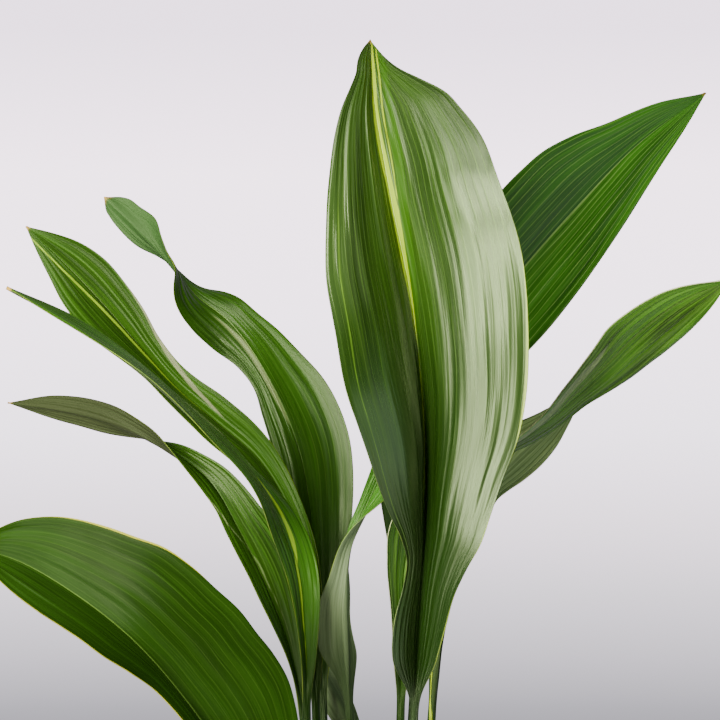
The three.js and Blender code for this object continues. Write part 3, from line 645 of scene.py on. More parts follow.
@dataclass
class LeafTissue:
    """Living leaf in long parallel strands under a thin waxy cuticle.

    The wax gives a soft clear gloss, broken lengthwise where the strands lift it. The lower side
    carries less wax, so it is paler, greyer and duller. The stalk is the same tissue, and dry
    papery sheaths wrap its foot. Spacings, and the cell that a dry spot may lie in, are in
    millimetres.
    """

    name: str
    finish: LeafFinish
    vein_spacing: float = 4.6
    strand_spacing: float = 1.15
    spot_cell: float = 1000 / 55
    cuticle: str = "#e4f9b6"
    stalk: str = "#182f08"
    sheath: str = "#7d5f38"
    dry: str = "#b08a3c"
    spot: str = "#7a5a1e"

    def build(self) -> bpy.types.Material:
        """Makes the material.

        Returns:
            A material that reads the vectors which the leaf's mesh carries.
        """
        material = bpy.data.materials.new("waxy_leaf_" + self.name)
        node = empty_tree(material)
        place = node("ShaderNodeAttribute", attribute_name="place").outputs["Vector"]
        across, along, _ = node("ShaderNodeSeparateXYZ", {0: place}).outputs
        grain = self.grains(node, place)
        lines = self.parallel_lines(node, across, grain["patch"])
        mask = self.masks(node, grain, self.sources(node, lines, along))
        bump = node("ShaderNodeBump", {
            "Height": self.relief(node, grain, lines, mask), "Distance": self.finish.relief * MM})
        shader = node("ShaderNodeBsdfPrincipled", {
            "Base Color": self.colour(node, grain, mask),
            "Roughness": self.gloss(node, grain, mask), "IOR": 1.5,
            "Specular IOR Level": self.finish.wax, "Specular Tint": linear(self.cuticle),
            "Normal": bump.outputs[0]})
        node("ShaderNodeOutputMaterial", {"Surface": shader.outputs[0]})
        return material

    @staticmethod
    def grains(node: AddNode, place: Socket) -> dict[str, Socket]:
        """Adds the leaf's noises, each in cells of its own size across and along the leaf.

        Args:
            node: adds a node to the material.
            place: the place on the leaf, in millimetres.

        Returns:
            Broad patches, the bands and strands between veins, swellings, crinkles, and the
            noise that makes an edge ragged.
        """
        grain = {}
        for key, across, along, detail in (
                ("patch", 20, 120, 2), ("band", 6, 150, 2), ("strand", 1.5, 70, 3),
                ("swell", 8, 80, 1), ("crinkle", 1.2, 2.6, 2), ("ragged", 2, 14, 2)):
            stretched = node("ShaderNodeVectorMath", {0: place, 1: (1 / across, 1 / along, 1)},
                             operation="MULTIPLY").outputs[0]
            grain[key] = node("ShaderNodeTexNoise", {
                "Vector": stretched, "Scale": 1, "Detail": detail}).outputs[0]
        return grain

    def parallel_lines(self, node: AddNode, across: Socket, patch: Socket) -> dict[str, Socket]:
        """Adds the veins and the finer strands: lines evenly apart, bent by the broad patches.

        Args:
            node: adds a node to the material.
            across: millimetres across the leaf.
            patch: the noise of broad patches.

        Returns:
            For each of the two, 1 in the middle of a line and 0 between lines.
        """
        lines = {}
        for key, spacing, edge in (("vein", self.vein_spacing, 0.13),
                                   ("strand", self.strand_spacing, 0.3)):
            counted = node("ShaderNodeMath", {0: across, 1: 1 / spacing},
                           operation="MULTIPLY").outputs[0]
            bent = node("ShaderNodeMath", {0: patch, 1: 1.6, 2: counted},
                        operation="MULTIPLY_ADD").outputs[0]
            apart = node("ShaderNodeMath", {0: bent, 1: 0.5}, operation="PINGPONG").outputs[0]
            lines[key] = node("ShaderNodeMapRange", {
                "Value": apart, "From Min": edge, "From Max": 0.01},
                interpolation_type="SMOOTHSTEP").outputs[0]
        return lines

    def sources(self, node: AddNode, lines: dict[str, Socket], along: Socket) -> dict[str, Socket]:
        """Collects what the masks are read from.

        The margin is bleached where its band is wider than the distance to the edge. One cell
        in twenty has a dry spot in its middle.

        Args:
            node: adds a node to the material.
            lines: the veins and strands.
            along: millimetres along the blade.

        Returns:
            A socket for each mask that follows more than a grain of its own.
        """
        read = {}
        for name in ("blade", "stripe", "rim"):
            vector = node("ShaderNodeAttribute", attribute_name=name).outputs["Vector"]
            read[name] = node("ShaderNodeSeparateXYZ", {0: vector}).outputs
        # line_and_sheen: depth inside the band that is a pale line on some leaves and painted sheen
        # on others
        line_and_sheen = node("ShaderNodeAttribute", attribute_name="line_and_sheen").outputs["Fac"]
        place = node("ShaderNodeTexCoord").outputs["Object"]
        height = node("ShaderNodeSeparateXYZ", {0: place}).outputs[2]
        midrib = node("ShaderNodeMath", {0: read["blade"][0]}, operation="ABSOLUTE").outputs[0]
        bleached = node("ShaderNodeMath", {0: read["rim"][1], 1: read["rim"][0]},
                        operation="SUBTRACT").outputs[0]
        cells = node("ShaderNodeTexVoronoi", {
            "Vector": place, "Scale": 1 / (self.spot_cell * MM)})
        chosen = node("ShaderNodeSeparateColor", {0: cells.outputs["Color"]}).outputs[0]
        rare = node("ShaderNodeMapRange", {
            "Value": chosen, "From Min": 0.93, "From Max": 0.97, "To Min": 1,
            "To Max": 0}).outputs[0]
        spot = node("ShaderNodeMath", {0: cells.outputs["Distance"], 1: rare},
                    operation="ADD").outputs[0]
        return {"vein": lines["vein"], "fine": lines["strand"], "midrib": midrib,
                "stripe": read["stripe"][0], "second": read["stripe"][1],
                "bright": read["stripe"][2], "line_and_sheen": line_and_sheen, "margin": bleached,
                "lower": read["blade"][2], "tip": read["rim"][2], "spot": spot,
                "stalk": along, "base": along, "sheath": height}

    def masks(self, node: AddNode, grain: dict[str, Socket],
              sources: dict[str, Socket]) -> dict[str, Socket]:
        """Adds a mask for each layer of colour.

        A mask is the soft step from low to high, times most, of its source plus weight times
        the grain that roughens its edge.

        Args:
            node: adds a node to the material.
            grain: the leaf's noises.
            sources: what the masks are read from; those without a source show their grain.

        Returns:
            The masks, from 0 where a layer is absent.
        """
        reach = self.finish.foot_shade_reach
        mask = {}
        for key, rough, weight, low, high, most in (
                ("patch", "patch", 1, 0.35, 0.68, 1),
                ("band", "band", 1, 0.45, 0.75, 0.35),
                ("strand", "strand", 1, 0.45, 0.7, 0.45),
                ("vein", "band", 0.4, 0.6, 1.25, self.finish.veining),
                ("fine", "strand", 0.6, 0.6, 1.6, 0.25),
                ("midrib", "ragged", 0, 0.022, 0.008, 0.8),
                ("bright", "strand", 5, 2.2, 4.2, 0.9),
                ("stripe", "ragged", 0.9, 0.2, 0.75, 1),
                ("second", "ragged", 0.5, 0.1, 0.45, 0.9),
                # line_and_sheen lays a pale line on some leaves and painted sheen on others.
                ("line_and_sheen", "strand", 1.6, 0.6, 1.5, 0.55),
                ("margin", "ragged", 0.5, 0.3, 0.85, 0.75),
                ("lower", "patch", 0, 0.1, -0.1, 1),
                ("tip", "ragged", 8, 8, 4.5, 0.85),
                ("spot", "ragged", 0, 0.06, 0.03, 0.8),
                ("stalk", "band", 20, 25, -5, 1),
                # The foot, darkened up to foot_shade_reach: painted shade.
                ("base", "band", 40, reach, 0.3 * reach, 0.9),
                ("sheath", "strand", 0.12, 0.285, 0.225, 0.95)):
            edge = node("ShaderNodeMath", {0: grain[rough], 1: weight, 2: sources.get(key, 0.0)},
                        operation="MULTIPLY_ADD").outputs[0]
            mask[key] = node("ShaderNodeMapRange", {
                "Value": edge, "From Min": low, "From Max": high, "To Max": most},
                interpolation_type="SMOOTHSTEP").outputs[0]
        return mask

    def colour(self, node: AddNode, grain: dict[str, Socket], mask: dict[str, Socket]) -> Socket:
        """Adds the colours of the upper side, of the lower side, and of the markings over both.

        Args:
            node: adds a node to the material.
            grain: the leaf's noises.
            mask: where each layer shows.

        Returns:
            The finished colour.
        """
        finish = self.finish
        upper = node("ShaderNodeMix", {
            0: mask["patch"], 6: linear(finish.deep), 7: linear(finish.green)},
            data_type="RGBA").outputs[2]
        for key, shade in (("band", finish.light), ("strand", finish.light),
                           ("bright", finish.bright), ("fine", finish.light),
                           ("vein", finish.vein), ("midrib", finish.vein)):
            upper = node("ShaderNodeMix", {0: mask[key], 6: upper, 7: linear(shade)},
                         data_type="RGBA").outputs[2]
        lower = node("ShaderNodeMix", {
            0: grain["strand"], 6: linear(finish.under), 7: linear(finish.under_light)},
            data_type="RGBA").outputs[2]
        lower = node("ShaderNodeMix", {0: mask["vein"], 6: lower, 7: linear(finish.green)},
                     data_type="RGBA").outputs[2]
        colour = node("ShaderNodeMix", {0: mask["lower"], 6: upper, 7: lower},
                      data_type="RGBA").outputs[2]
        # base paints the foot darker, as painted shade.
        for key, shade in (("base", finish.base), ("line_and_sheen", finish.line_and_sheen_tone),
                           ("stripe", finish.yellow), ("second", finish.yellow),
                           ("margin", finish.margin_tone), ("spot", self.spot),
                           ("stalk", self.stalk), ("tip", self.dry), ("sheath", self.sheath)):
            colour = node("ShaderNodeMix", {0: mask[key], 6: colour, 7: linear(shade)},
                          data_type="RGBA").outputs[2]
        return colour

    def gloss(self, node: AddNode, grain: dict[str, Socket], mask: dict[str, Socket]) -> Socket:
        """Adds the roughness, which is higher on the lower side and on the dry sheaths.

        Args:
            node: adds a node to the material.
            grain: the leaf's noises.
            mask: where each layer shows.

        Returns:
            The finish's own roughness plus the weighted sum, less what the noises add on average.
        """
        rough = self.finish.roughness - 0.13
        for source, weight in ((grain["band"], 0.16), (grain["strand"], 0.1), (mask["lower"], 0.3),
                               (mask["base"], 0.08), (mask["stripe"], -0.06),
                               (mask["sheath"], 0.3)):
            rough = node("ShaderNodeMath", {0: source, 1: weight, 2: rough},
                         operation="MULTIPLY_ADD").outputs[0]
        return rough

    @staticmethod
    def relief(node: AddNode, grain: dict[str, Socket], lines: dict[str, Socket],
               mask: dict[str, Socket]) -> Socket:
        """Adds the height of veins, strands, swellings, crinkles and sheaths.

        Args:
            node: adds a node to the material.
            grain: the leaf's noises.
            lines: the veins and strands.
            mask: where each layer shows.

        Returns:
            The weighted sum of them, in millimetres.
        """
        height = 0.0
        for source, depth in ((lines["vein"], 0.03), (lines["strand"], 0.006), (grain["band"], 0.4),
                              (grain["swell"], 1.1), (grain["strand"], 0.08),
                              (grain["crinkle"], 0.02), (mask["sheath"], 0.3)):
            height = node("ShaderNodeMath", {0: source, 1: depth, 2: height},
                          operation="MULTIPLY_ADD").outputs[0]
        return height


# ---------------------------------------------------------------- leaves


@dataclass
class Midrib:
    """The curve a leaf grows along, upright from its foot to just above the soil.

    Its points are the foot, the end of the upright stretch and the form's own, and the petiole
    opens into the blade at the one numbered blade_point. Heights are in millimetres. A tangent
    is taken over a small share of the curve to either side.
    """

    form: LeafForm
    foot_height: float = 128
    straight_to: float = 170
    blade_point: int = 3
    steps: int = 600
    tangent_share: float = 0.002
    points: np.ndarray = field(init=False)
    knots: np.ndarray = field(init=False)
    slopes: np.ndarray = field(init=False)
    grid: np.ndarray = field(init=False)
    lengths: np.ndarray = field(init=False)

    def __post_init__(self) -> None:
        """Lays the knots by chord length, and measures the curve's length at even steps."""
        x, y = self.form.root
        self.points = np.array([(x, y, self.foot_height), (x, y, self.straight_to),
                                *self.form.midrib], float)
        self.knots = running_length(self.points)
        self.slopes = knot_slopes(self.knots, self.points)
        self.slopes[:2] = (0, 0, 1)
        self.grid = np.linspace(0, self.knots[-1], self.steps + 1)
        self.lengths = running_length(self.at(self.grid))

    def at(self, knot: np.ndarray) -> np.ndarray:
        """The curve's points at the given knot values."""
        return hermite(self.knots, self.points, self.slopes, knot)

    @property
    def length(self) -> float:
        """The curve's whole length."""
        return float(self.lengths[-1])

    @property
    def blade_start(self) -> float:
        """The length at which the petiole opens into the blade."""
        return float(np.interp(self.knots[self.blade_point], self.grid, self.lengths))

    def sample(self, length: np.ndarray) -> tuple[np.ndarray, np.ndarray]:
        """Reads the curve at the given lengths.

        Args:
            length: lengths from the foot.

        Returns:
            The points, and the unit tangents there.
        """
        knot = np.interp(length, self.lengths, self.grid)
        reach = self.knots[-1] * self.tangent_share
        ahead = self.at(np.minimum(knot + reach, self.knots[-1]))
        behind = self.at(np.maximum(knot - reach, 0))
        tangent = (ahead - behind) / np.linalg.norm(ahead - behind, axis=1, keepdims=True)
        return self.at(knot), tangent


@dataclass
class Leaf:
    """One leaf, petiole and blade grown as one, with the same form as its node in the frame.

    Lengths are millimetres and angles degrees. The rib under the midrib is midrib_depth deep
    and fades as the bell curve of the distance squared over rib_spread. A crease is crease_parts
    creases side by side, up to crease_rounding from its middle, and the faces turn over within
    crease_softness of it, both as shares of the half blade. sweep is how far round the petiole
    a half blade's columns go, and blend the share of the blade over which the petiole opens.

    Stations lie station_step apart, and closer where the blade twists by more than station_turn.
    A column lies every column_step, with extra_columns more, and crowding draws them towards the
    margins. leaf_offset sets one leaf's noises apart from the next one's, and hidden is the
    depth that is written where a leaf has no such band.
    """

    form: LeafForm
    finish: LeafFinish
    thickness: float = 0.8
    rim_thickness: float = 0.6
    least_width: float = 0.3
    midrib_depth: float = 1.3
    rib_spread: float = 6
    crease_rounding: float = 0.06
    crease_parts: int = 5
    crease_softness: float = 0.08
    blend: float = 0.1
    sweep: float = 78
    sheath_radius: float = 3.6
    stalk_radius: float = 2.5
    sheath_length: float = 110
    station_step: float = 2.4
    station_turn: float = 2.5
    column_step: float = 1.0
    extra_columns: int = 6
    crowding: float = 1.3
    pleat_heights: tuple[float, ...] = (0.16, 0.13, 0.06)
    pleat_counts: tuple[float, ...] = (2.6, 4.7, 8.3)
    leaf_offset: float = 37
    hidden: float = -20

    def stations(self, midrib: Midrib) -> np.ndarray:
        """Places the loops: even along the petiole, and closer where the blade twists.

        Args:
            midrib: the leaf's curve.

        Returns:
            The loops' lengths from the foot.
        """
        start, end = midrib.blade_start, midrib.length
        stalk = np.linspace(0, start, int(start / (2 * self.station_step)), endpoint=False)
        parts = 480
        share = np.linspace(0, 1, parts + 1)
        turn = np.abs(np.diff(along_keys(self.form.roll, share))) / self.station_turn
        effort = np.concatenate([[0], np.cumsum(turn + (end - start) / parts / self.station_step)])
        wanted = np.linspace(0, effort[-1], int(effort[-1]) + 1)
        return np.concatenate([stalk, start + (end - start) * np.interp(wanted, effort, share)])

    def columns(self) -> np.ndarray:
        """Places the columns across the blade, a little closer together towards the margins.

        Returns:
            Places from -1 at the left margin to 1 at the right, as 1 - (1 - e)^crowding of even
            shares e on either side.
        """
        widest = max(max(row[1:]) for row in self.form.width)
        count = int(widest / self.column_step) + self.extra_columns
        half = 1 - (1 - np.linspace(0, 1, count + 1)) ** self.crowding
        return np.concatenate([-half[:0:-1], half])

    def pleats(self, across: np.ndarray, share: np.ndarray) -> np.ndarray:
        """Heights of the soft pleats that run the length of the blade.

        Each is a sine over the share across a half blade. Its phase drifts by up to 0.9 radians
        as another sine along the leaf, and by 0.8 as one across it. The pleats die out at the
        midrib, the petiole and the tip.

        Args:
            across: -1 at the left margin to 1 at the right, a row of them.
            share: 0 at the blade's start to 1 at its tip, a column of them.

        Returns:
            Heights in millimetres for the whole grid.
        """
        rng = np.random.default_rng(self.finish.seed * 11)
        total = np.zeros((len(share), len(across)))
        side = (across > 0).astype(float)
        for height, count in zip(self.pleat_heights, self.pleat_counts):
            phase = rng.random(4) * 2 * np.pi
            drift = 0.9 * np.sin(2.1 * np.pi * share[:, None] + phase[0] + 2 * side[None])
            wobble = 0.8 * np.sin(5.3 * across[None] + phase[1] + 3 * share[:, None])
            turn = 2 * np.pi * count * np.abs(across[None]) + phase[2] + side[None] * phase[3]
            total += height * np.sin(turn + drift + wobble)
        ends = smoothstep(share, 0.02, 0.3) * smoothstep(1 - share, 0, 0.15)
        return self.finish.pleat * total * ends[:, None] * smoothstep(np.abs(across), 0, 0.12)[None]

    def surface(self) -> tuple[np.ndarray, dict[str, np.ndarray]]:
        """Works out the whole closed surface.

        At each station a loop runs left to right over the upper side and back under the lower.
        It is the petiole's loop at first, the blade's further on, and a soft step blends the
        one into the other. Each loop lies square to the midrib and is turned by the roll.

        Returns:
            The grid of points in millimetres, and the vectors that its material reads.
        """
        midrib = Midrib(self.form)
        lengths = self.stations(midrib)
        share = np.clip((lengths - midrib.blade_start) / (midrib.length - midrib.blade_start), 0, 1)
        columns = self.columns()
        loop = np.concatenate([columns, columns[::-1]])
        face = np.repeat([Face.UPPER.value, Face.LOWER.value], len(columns))
        left, right = (np.maximum(along_keys(self.form.width, share, k), self.least_width)[:, None]
                       for k in (1, 2))
        width = np.where(loop[None] < 0, left, right)
        stalk = self.stalk_loops(self.stalk_radii(lengths, midrib), loop, face)
        blade = self.blade_loops(share, loop, face, width)
        offset = stalk + (blade - stalk) * smoothstep(share, 0, self.blend)[None, :, None]
        point, tangent = midrib.sample(lengths)
        across, outward = self.cross_directions(tangent, along_keys(self.form.roll, share))
        points = (point[:, None] + offset[0][..., None] * across[:, None]
                  + offset[1][..., None] * outward[:, None])
        return points, self.markings(lengths - midrib.blade_start, share, loop, face, width)

    def stalk_loops(self, radius: np.ndarray, loop: np.ndarray, face: np.ndarray) -> np.ndarray:
        """The petiole's loops: a circle for each station.

        A column's place times the sweep is its angle from the top of the circle, and the lower
        side mirrors the upper.

        Args:
            radius: the petiole's radius at each station.
            loop: places across, -1 to 1, round the loop.
            face: 1 for the upper side and -1 for the lower, round the loop.

        Returns:
            Places across and outwards, each with a row for a station.
        """
        angle = loop[None] * math.radians(self.sweep)
        return np.stack([radius[:, None] * np.sin(angle),
                         face[None] * radius[:, None] * np.cos(angle)])

    def blade_loops(self, share: np.ndarray, loop: np.ndarray, face: np.ndarray,
                    width: np.ndarray) -> np.ndarray:
        """The blade's loops.

        A point of the blade's middle is turned by start - arch * u from flat, plus the bend
        inside the crease, where u is its share across the half. The integral of that turn gives
        its place across and its rise, the wave and the pleats lift it, and half the thickness
        goes along the section's normal to either face.

        Args:
            share: 0 at the blade's start to 1 at its tip, for each station.
            loop: places across, -1 to 1, round the loop.
            face: 1 for the upper side and -1 for the lower, round the loop.
            width: the half width that each point belongs to.

        Returns:
            Places across and outwards, each with a row for a station.
        """
        side, u = np.where(loop < 0, -1.0, 1.0), np.abs(loop)[None]
        arch = np.radians(along_keys(self.form.arch, share))[:, None]
        start = np.radians(along_keys(self.form.fold, share))[:, None] + arch / 2
        crease = along_keys(self.form.crease, share)[:, None]
        bend = np.radians(along_keys(self.form.crease, share, 2))[:, None]
        inside = 1 - smoothstep(u - crease, -self.crease_softness, self.crease_softness)
        turn = start - arch * u + bend * inside
        along, rise = self.section(u, start, arch, crease, bend)
        along = along * width
        rise = rise * width + self.wave(share, side) * u ** 2 + self.pleats(loop, share)
        bell = self.midrib_depth * np.exp(-((u * width) ** 2) / self.rib_spread)
        rib = np.where(face[None] < 0, bell, 0)
        thick = (self.thickness + (self.rim_thickness - self.thickness) * u) / 2 + rib
        return np.stack([side * (along - face * thick * np.sin(turn)),
                         rise + face * thick * np.cos(turn)])

    def wave(self, share: np.ndarray, side: np.ndarray) -> np.ndarray:
        """Rise of the margins' wave.

        It is a sine along the blade, times the square root of half a sine from the blade's
        start to its tip.

        Args:
            share: 0 at the blade's start to 1 at its tip, for each station.
            side: -1 for the left half and 1 for the right, round the loop.

        Returns:
            Its height at the margin, a row for each station.
        """
        wave = self.form.wave
        phase = np.where(side < 0, wave.left_phase, wave.right_phase)
        return wave.height * np.sqrt(np.sin(np.pi * share))[:, None] * np.sin(
            2 * np.pi * (wave.count * share[:, None] + phase[None]))

    def section(self, u: np.ndarray, start: np.ndarray, arch: np.ndarray, crease: np.ndarray,
                bend: np.ndarray) -> tuple[np.ndarray, np.ndarray]:
        """Place across and rise of the blade's middle, as shares of the half width.

        The section leaves the midrib turned up by start, plus bend up to the crease, and turns
        back by arch * u. Its place is the integral of the turn's cosine, its rise that of its
        sine, each the mean over a few creases side by side, which rounds the fold.

        Args:
            u: share across the half blade.
            start: the turn at the midrib, in radians, for each station.
            arch: the turn lost from midrib to margin.
            crease: where the crease lies across.
            bend: the crease's angle.

        Returns:
            The two arrays, a row for each station.
        """
        along, rise = np.zeros((len(start), u.shape[1])), np.zeros((len(start), u.shape[1]))
        for shift in np.linspace(-self.crease_rounding, self.crease_rounding, self.crease_parts):
            inner = np.minimum(u, crease + shift)
            for first, low, high in ((start + bend, 0, inner), (start, inner, u)):
                near, far = first - arch * low, first - arch * high
                along += (np.sin(near) - np.sin(far)) / arch / self.crease_parts
                rise += (np.cos(far) - np.cos(near)) / arch / self.crease_parts
        return along, rise

    @staticmethod
    def cross_directions(tangent: np.ndarray, roll: np.ndarray) -> tuple[np.ndarray, np.ndarray]:
        """The leaf's own directions square to its midrib.

        Unrolled, across is level and square to the viewer's direction, and outward completes
        the three; the roll turns both about the tangent.

        Args:
            tangent: unit tangents, one in a row.
            roll: the roll at each, in degrees.

        Returns:
            Unit vectors across to the leaf's right, and outwards from its upper side.
        """
        across = np.cross((0, 1, 0), tangent)
        across /= np.linalg.norm(across, axis=1, keepdims=True)
        outward = np.cross(across, tangent)
        outward /= np.linalg.norm(outward, axis=1, keepdims=True)
        c, s = np.cos(np.radians(roll))[:, None], np.sin(np.radians(roll))[:, None]
        return across * c + outward * s, outward * c - across * s

    def stalk_radii(self, lengths: np.ndarray, midrib: Midrib) -> np.ndarray:
        """Radius of the petiole: the old sheath at its foot thins out into the bare stalk.

        Args:
            lengths: lengths from the foot.
            midrib: the leaf's curve.

        Returns:
            A radius for each length.
        """
        foot = midrib.straight_to - midrib.foot_height
        bare = smoothstep(lengths, foot, foot + self.sheath_length)
        return self.sheath_radius + (self.stalk_radius - self.sheath_radius) * bare

    def markings(self, along: np.ndarray, share: np.ndarray, loop: np.ndarray, face: np.ndarray,
                 width: np.ndarray) -> dict[str, np.ndarray]:
        """Works out what the material reads at each point.

        Args:
            along: millimetres from the blade's start, for each station.
            share: 0 at the blade's start to 1 at its tip, for each station.
            loop: places across, -1 to 1, round the loop.
            face: 1 for the upper side and -1 for the lower, round the loop.
            width: the half width that each point belongs to.

        Returns:
            blade, with the place across, the share along and the face; place, with millimetres
            across where the blade is widest, millimetres along, and the leaf's own offset;
            stripe, how deep a point lies inside each stripe and band, and line_and_sheen, inside
            the band that is a pale line on some leaves and painted sheen on others; rim, with its
            distance from the margin, the bleached margin's width there and its distance from the
            tip.
        """
        finish, grid = self.finish, np.ones_like(width)
        across = loop[None] * width
        blade = np.stack([loop[None] * grid, share[:, None] * grid, face[None] * grid], axis=-1)
        place = np.stack([loop[None] * width.max() * grid, along[:, None] * grid,
                          self.leaf_offset * finish.seed * grid], axis=-1)
        stripe = np.stack([self.depth_inside(rows, share, across, grid) for rows in (
            finish.stripe, finish.second_stripe, finish.bright_band)], axis=-1)
        line_and_sheen = self.depth_inside(finish.line_and_sheen, share, loop[None], width)
        left, right = (along_keys(finish.margin, share, k)[:, None] for k in (1, 2))
        rim = np.stack([width - np.abs(across), np.where(loop[None] < 0, left, right),
                        (along[-1] - along)[:, None] * grid], axis=-1)
        return {"blade": blade, "place": place, "stripe": stripe, "rim": rim, "line_and_sheen": line_and_sheen}

    def depth_inside(self, rows: Rows, share: np.ndarray, across: np.ndarray,
                     scale: np.ndarray) -> np.ndarray:
        """How deep each point lies inside a band that runs along the leaf.

        It is the band's half width less the distance from its middle.

        Args:
            rows: the band's share along, its middle and its half width; none, if there is none.
            share: 0 at the blade's start to 1 at its tip, for each station.
            across: places across, in the unit of the band's middle.
            scale: millimetres in one such unit, for each point.

        Returns:
            Millimetres, above zero inside the band.
        """
        if not rows:
            return np.full_like(scale, self.hidden)
        middle, half = (along_keys(rows, share, k)[:, None] for k in (1, 2))
        return half - np.abs(across - middle) * scale

    def lay_flat(self, obj: bpy.types.Object, rows: int, ring: int) -> None:
        """Gives the leaf a flat map on which no two faces overlap.

        A corner lies at its station's share of the stations one way, squeezed to 0.02 to 0.98,
        and at its column's share of the loop the other way. The face that closes a loop ends at
        1. The two end caps lie in strips 0.01 wide beyond the ends.

        Args:
            obj: the leaf, all in quads, with the two caps last.
            rows: how many stations it has.
            ring: how many points a loop has.
        """
        corner = np.empty(len(obj.data.loops), np.int32)
        obj.data.loops.foreach_get("vertex_index", corner)
        row, column = np.divmod(corner.reshape(-1, 4), ring)
        closing = (column.max(axis=1) == ring - 1) & (column.min(axis=1) == 0)
        column = np.where(closing[:, None] & (column == 0), ring, column)
        flat = np.stack([0.02 + 0.96 * row / (rows - 1), column / ring], axis=-1)
        caps, half = slice((rows - 1) * ring, None), ring // 2
        lower = column[caps] >= half
        flat[caps, :, 0] = np.where(row[caps] == 0, 0.003, 0.987) + 0.01 * lower
        flat[caps, :, 1] = np.where(lower, ring - 1 - column[caps] % ring, column[caps]) / half
        layer = obj.data.uv_layers.new(name="OFBake")
        layer.data.foreach_set("uv", flat.astype(np.float32).ravel())

    def build(self) -> bpy.types.Object:
        """Makes the leaf's mesh and gives it its tissue.

        Returns:
            The leaf, closed at both ends by a strip of quads between its upper and lower side.
        """
        points, marks = self.surface()
        rows, ring = points.shape[:2]
        k = np.arange(ring // 2 - 1)
        base = np.stack([k, ring - 1 - k, ring - 2 - k, k + 1], axis=1)
        tip = np.stack([k, k + 1, ring - 2 - k, ring - 1 - k], axis=1) + (rows - 1) * ring
        obj = make_piece(self.form.name + "_fine", points.reshape(-1, 3),
                         [grid_faces(rows, ring), base, tip], (self.form.name,))
        for name, values in marks.items():
            set_values(obj, name, values.reshape(-1, 3) if values.ndim == 3 else values.ravel())
        self.lay_flat(obj, rows, ring)
        obj.data.materials.append(LeafTissue(self.form.name, self.finish).build())
        return obj


# ---------------------------------------------------------------- pot


@dataclass(frozen=True)
class Stoneware:
    """Unglazed pale stoneware.

    Sanded clay scatters light evenly, so it has no gloss. It is mottled a little by the firing,
    has small brown specks of iron, and shallow rings where it was turned, and is darker low down
    where it has stood damp. Pattern sizes are in millimetres.
    """

    clay: str = "#d3cdc1"
    fired: str = "#bdb4a4"
    damp: str = "#a89d8b"
    iron: str = "#5d4a36"
    mottle_size: float = 35
    sand_size: float = 0.9
    speck_cell: float = 5
    ring_spacing: float = 3.5

    def build(self) -> bpy.types.Material:
        """Makes the material.

        Returns:
            A material whose patterns lie in the object's own metres.
        """
        material = bpy.data.materials.new("unglazed_stoneware")
        node = empty_tree(material)
        place = node("ShaderNodeTexCoord").outputs["Object"]
        height = node("ShaderNodeSeparateXYZ", {0: place}).outputs[2]
        mottle = node("ShaderNodeTexNoise", {
            "Vector": place, "Scale": 1 / (self.mottle_size * MM), "Detail": 3}).outputs[0]
        sand = node("ShaderNodeTexNoise", {
            "Vector": place, "Scale": 1 / (self.sand_size * MM), "Detail": 2}).outputs[0]
        stretched = node("ShaderNodeVectorMath", {
            0: place, 1: (2, 2, 1 / (self.ring_spacing * MM))}, operation="MULTIPLY").outputs[0]
        rings = node("ShaderNodeTexNoise", {
            "Vector": stretched, "Scale": 1, "Detail": 2}).outputs[0]
        cells = node("ShaderNodeTexVoronoi", {
            "Vector": place, "Scale": 1 / (self.speck_cell * MM)})
        chosen = node("ShaderNodeSeparateColor", {0: cells.outputs["Color"]}).outputs[0]
        reach = node("ShaderNodeMapRange", {
            "Value": chosen, "From Min": 0.45, "From Max": 1, "To Max": 0.09}).outputs[0]
        inside = node("ShaderNodeMath", {0: reach, 1: cells.outputs["Distance"]},
                      operation="SUBTRACT").outputs[0]
        speck = node("ShaderNodeMapRange", {
            "Value": inside, "From Min": -0.01, "From Max": 0.02, "To Max": 0.8}).outputs[0]
        ragged = node("ShaderNodeMath", {0: mottle, 1: -0.05, 2: height},
                      operation="MULTIPLY_ADD").outputs[0]
        damp = node("ShaderNodeMapRange", {
            "Value": ragged, "From Min": 0.02, "From Max": -0.02, "To Max": 0.7}).outputs[0]
        firing = node("ShaderNodeMapRange", {
            "Value": mottle, "From Min": 0.38, "From Max": 0.68, "To Max": 0.7}).outputs[0]
        colour = linear(self.clay)
        for share, shade in ((firing, self.fired), (damp, self.damp), (speck, self.iron)):
            colour = node("ShaderNodeMix", {0: share, 6: colour, 7: linear(shade)},
                          data_type="RGBA").outputs[2]
        rough = node("ShaderNodeMapRange", {
            "Value": sand, "To Min": 0.62, "To Max": 0.86}).outputs[0]
        relief = 0.0
        for source, depth in ((sand, 0.09), (rings, 0.3)):
            relief = node("ShaderNodeMath", {0: source, 1: depth, 2: relief},
                          operation="MULTIPLY_ADD").outputs[0]
        bump = node("ShaderNodeBump", {"Height": relief, "Distance": MM})
        shader = node("ShaderNodeBsdfPrincipled", {
            "Base Color": colour, "Roughness": rough, "Specular IOR Level": 0.35,
            "Normal": bump.outputs[0]})
        node("ShaderNodeOutputMaterial", {"Surface": shader.outputs[0]})
        return material


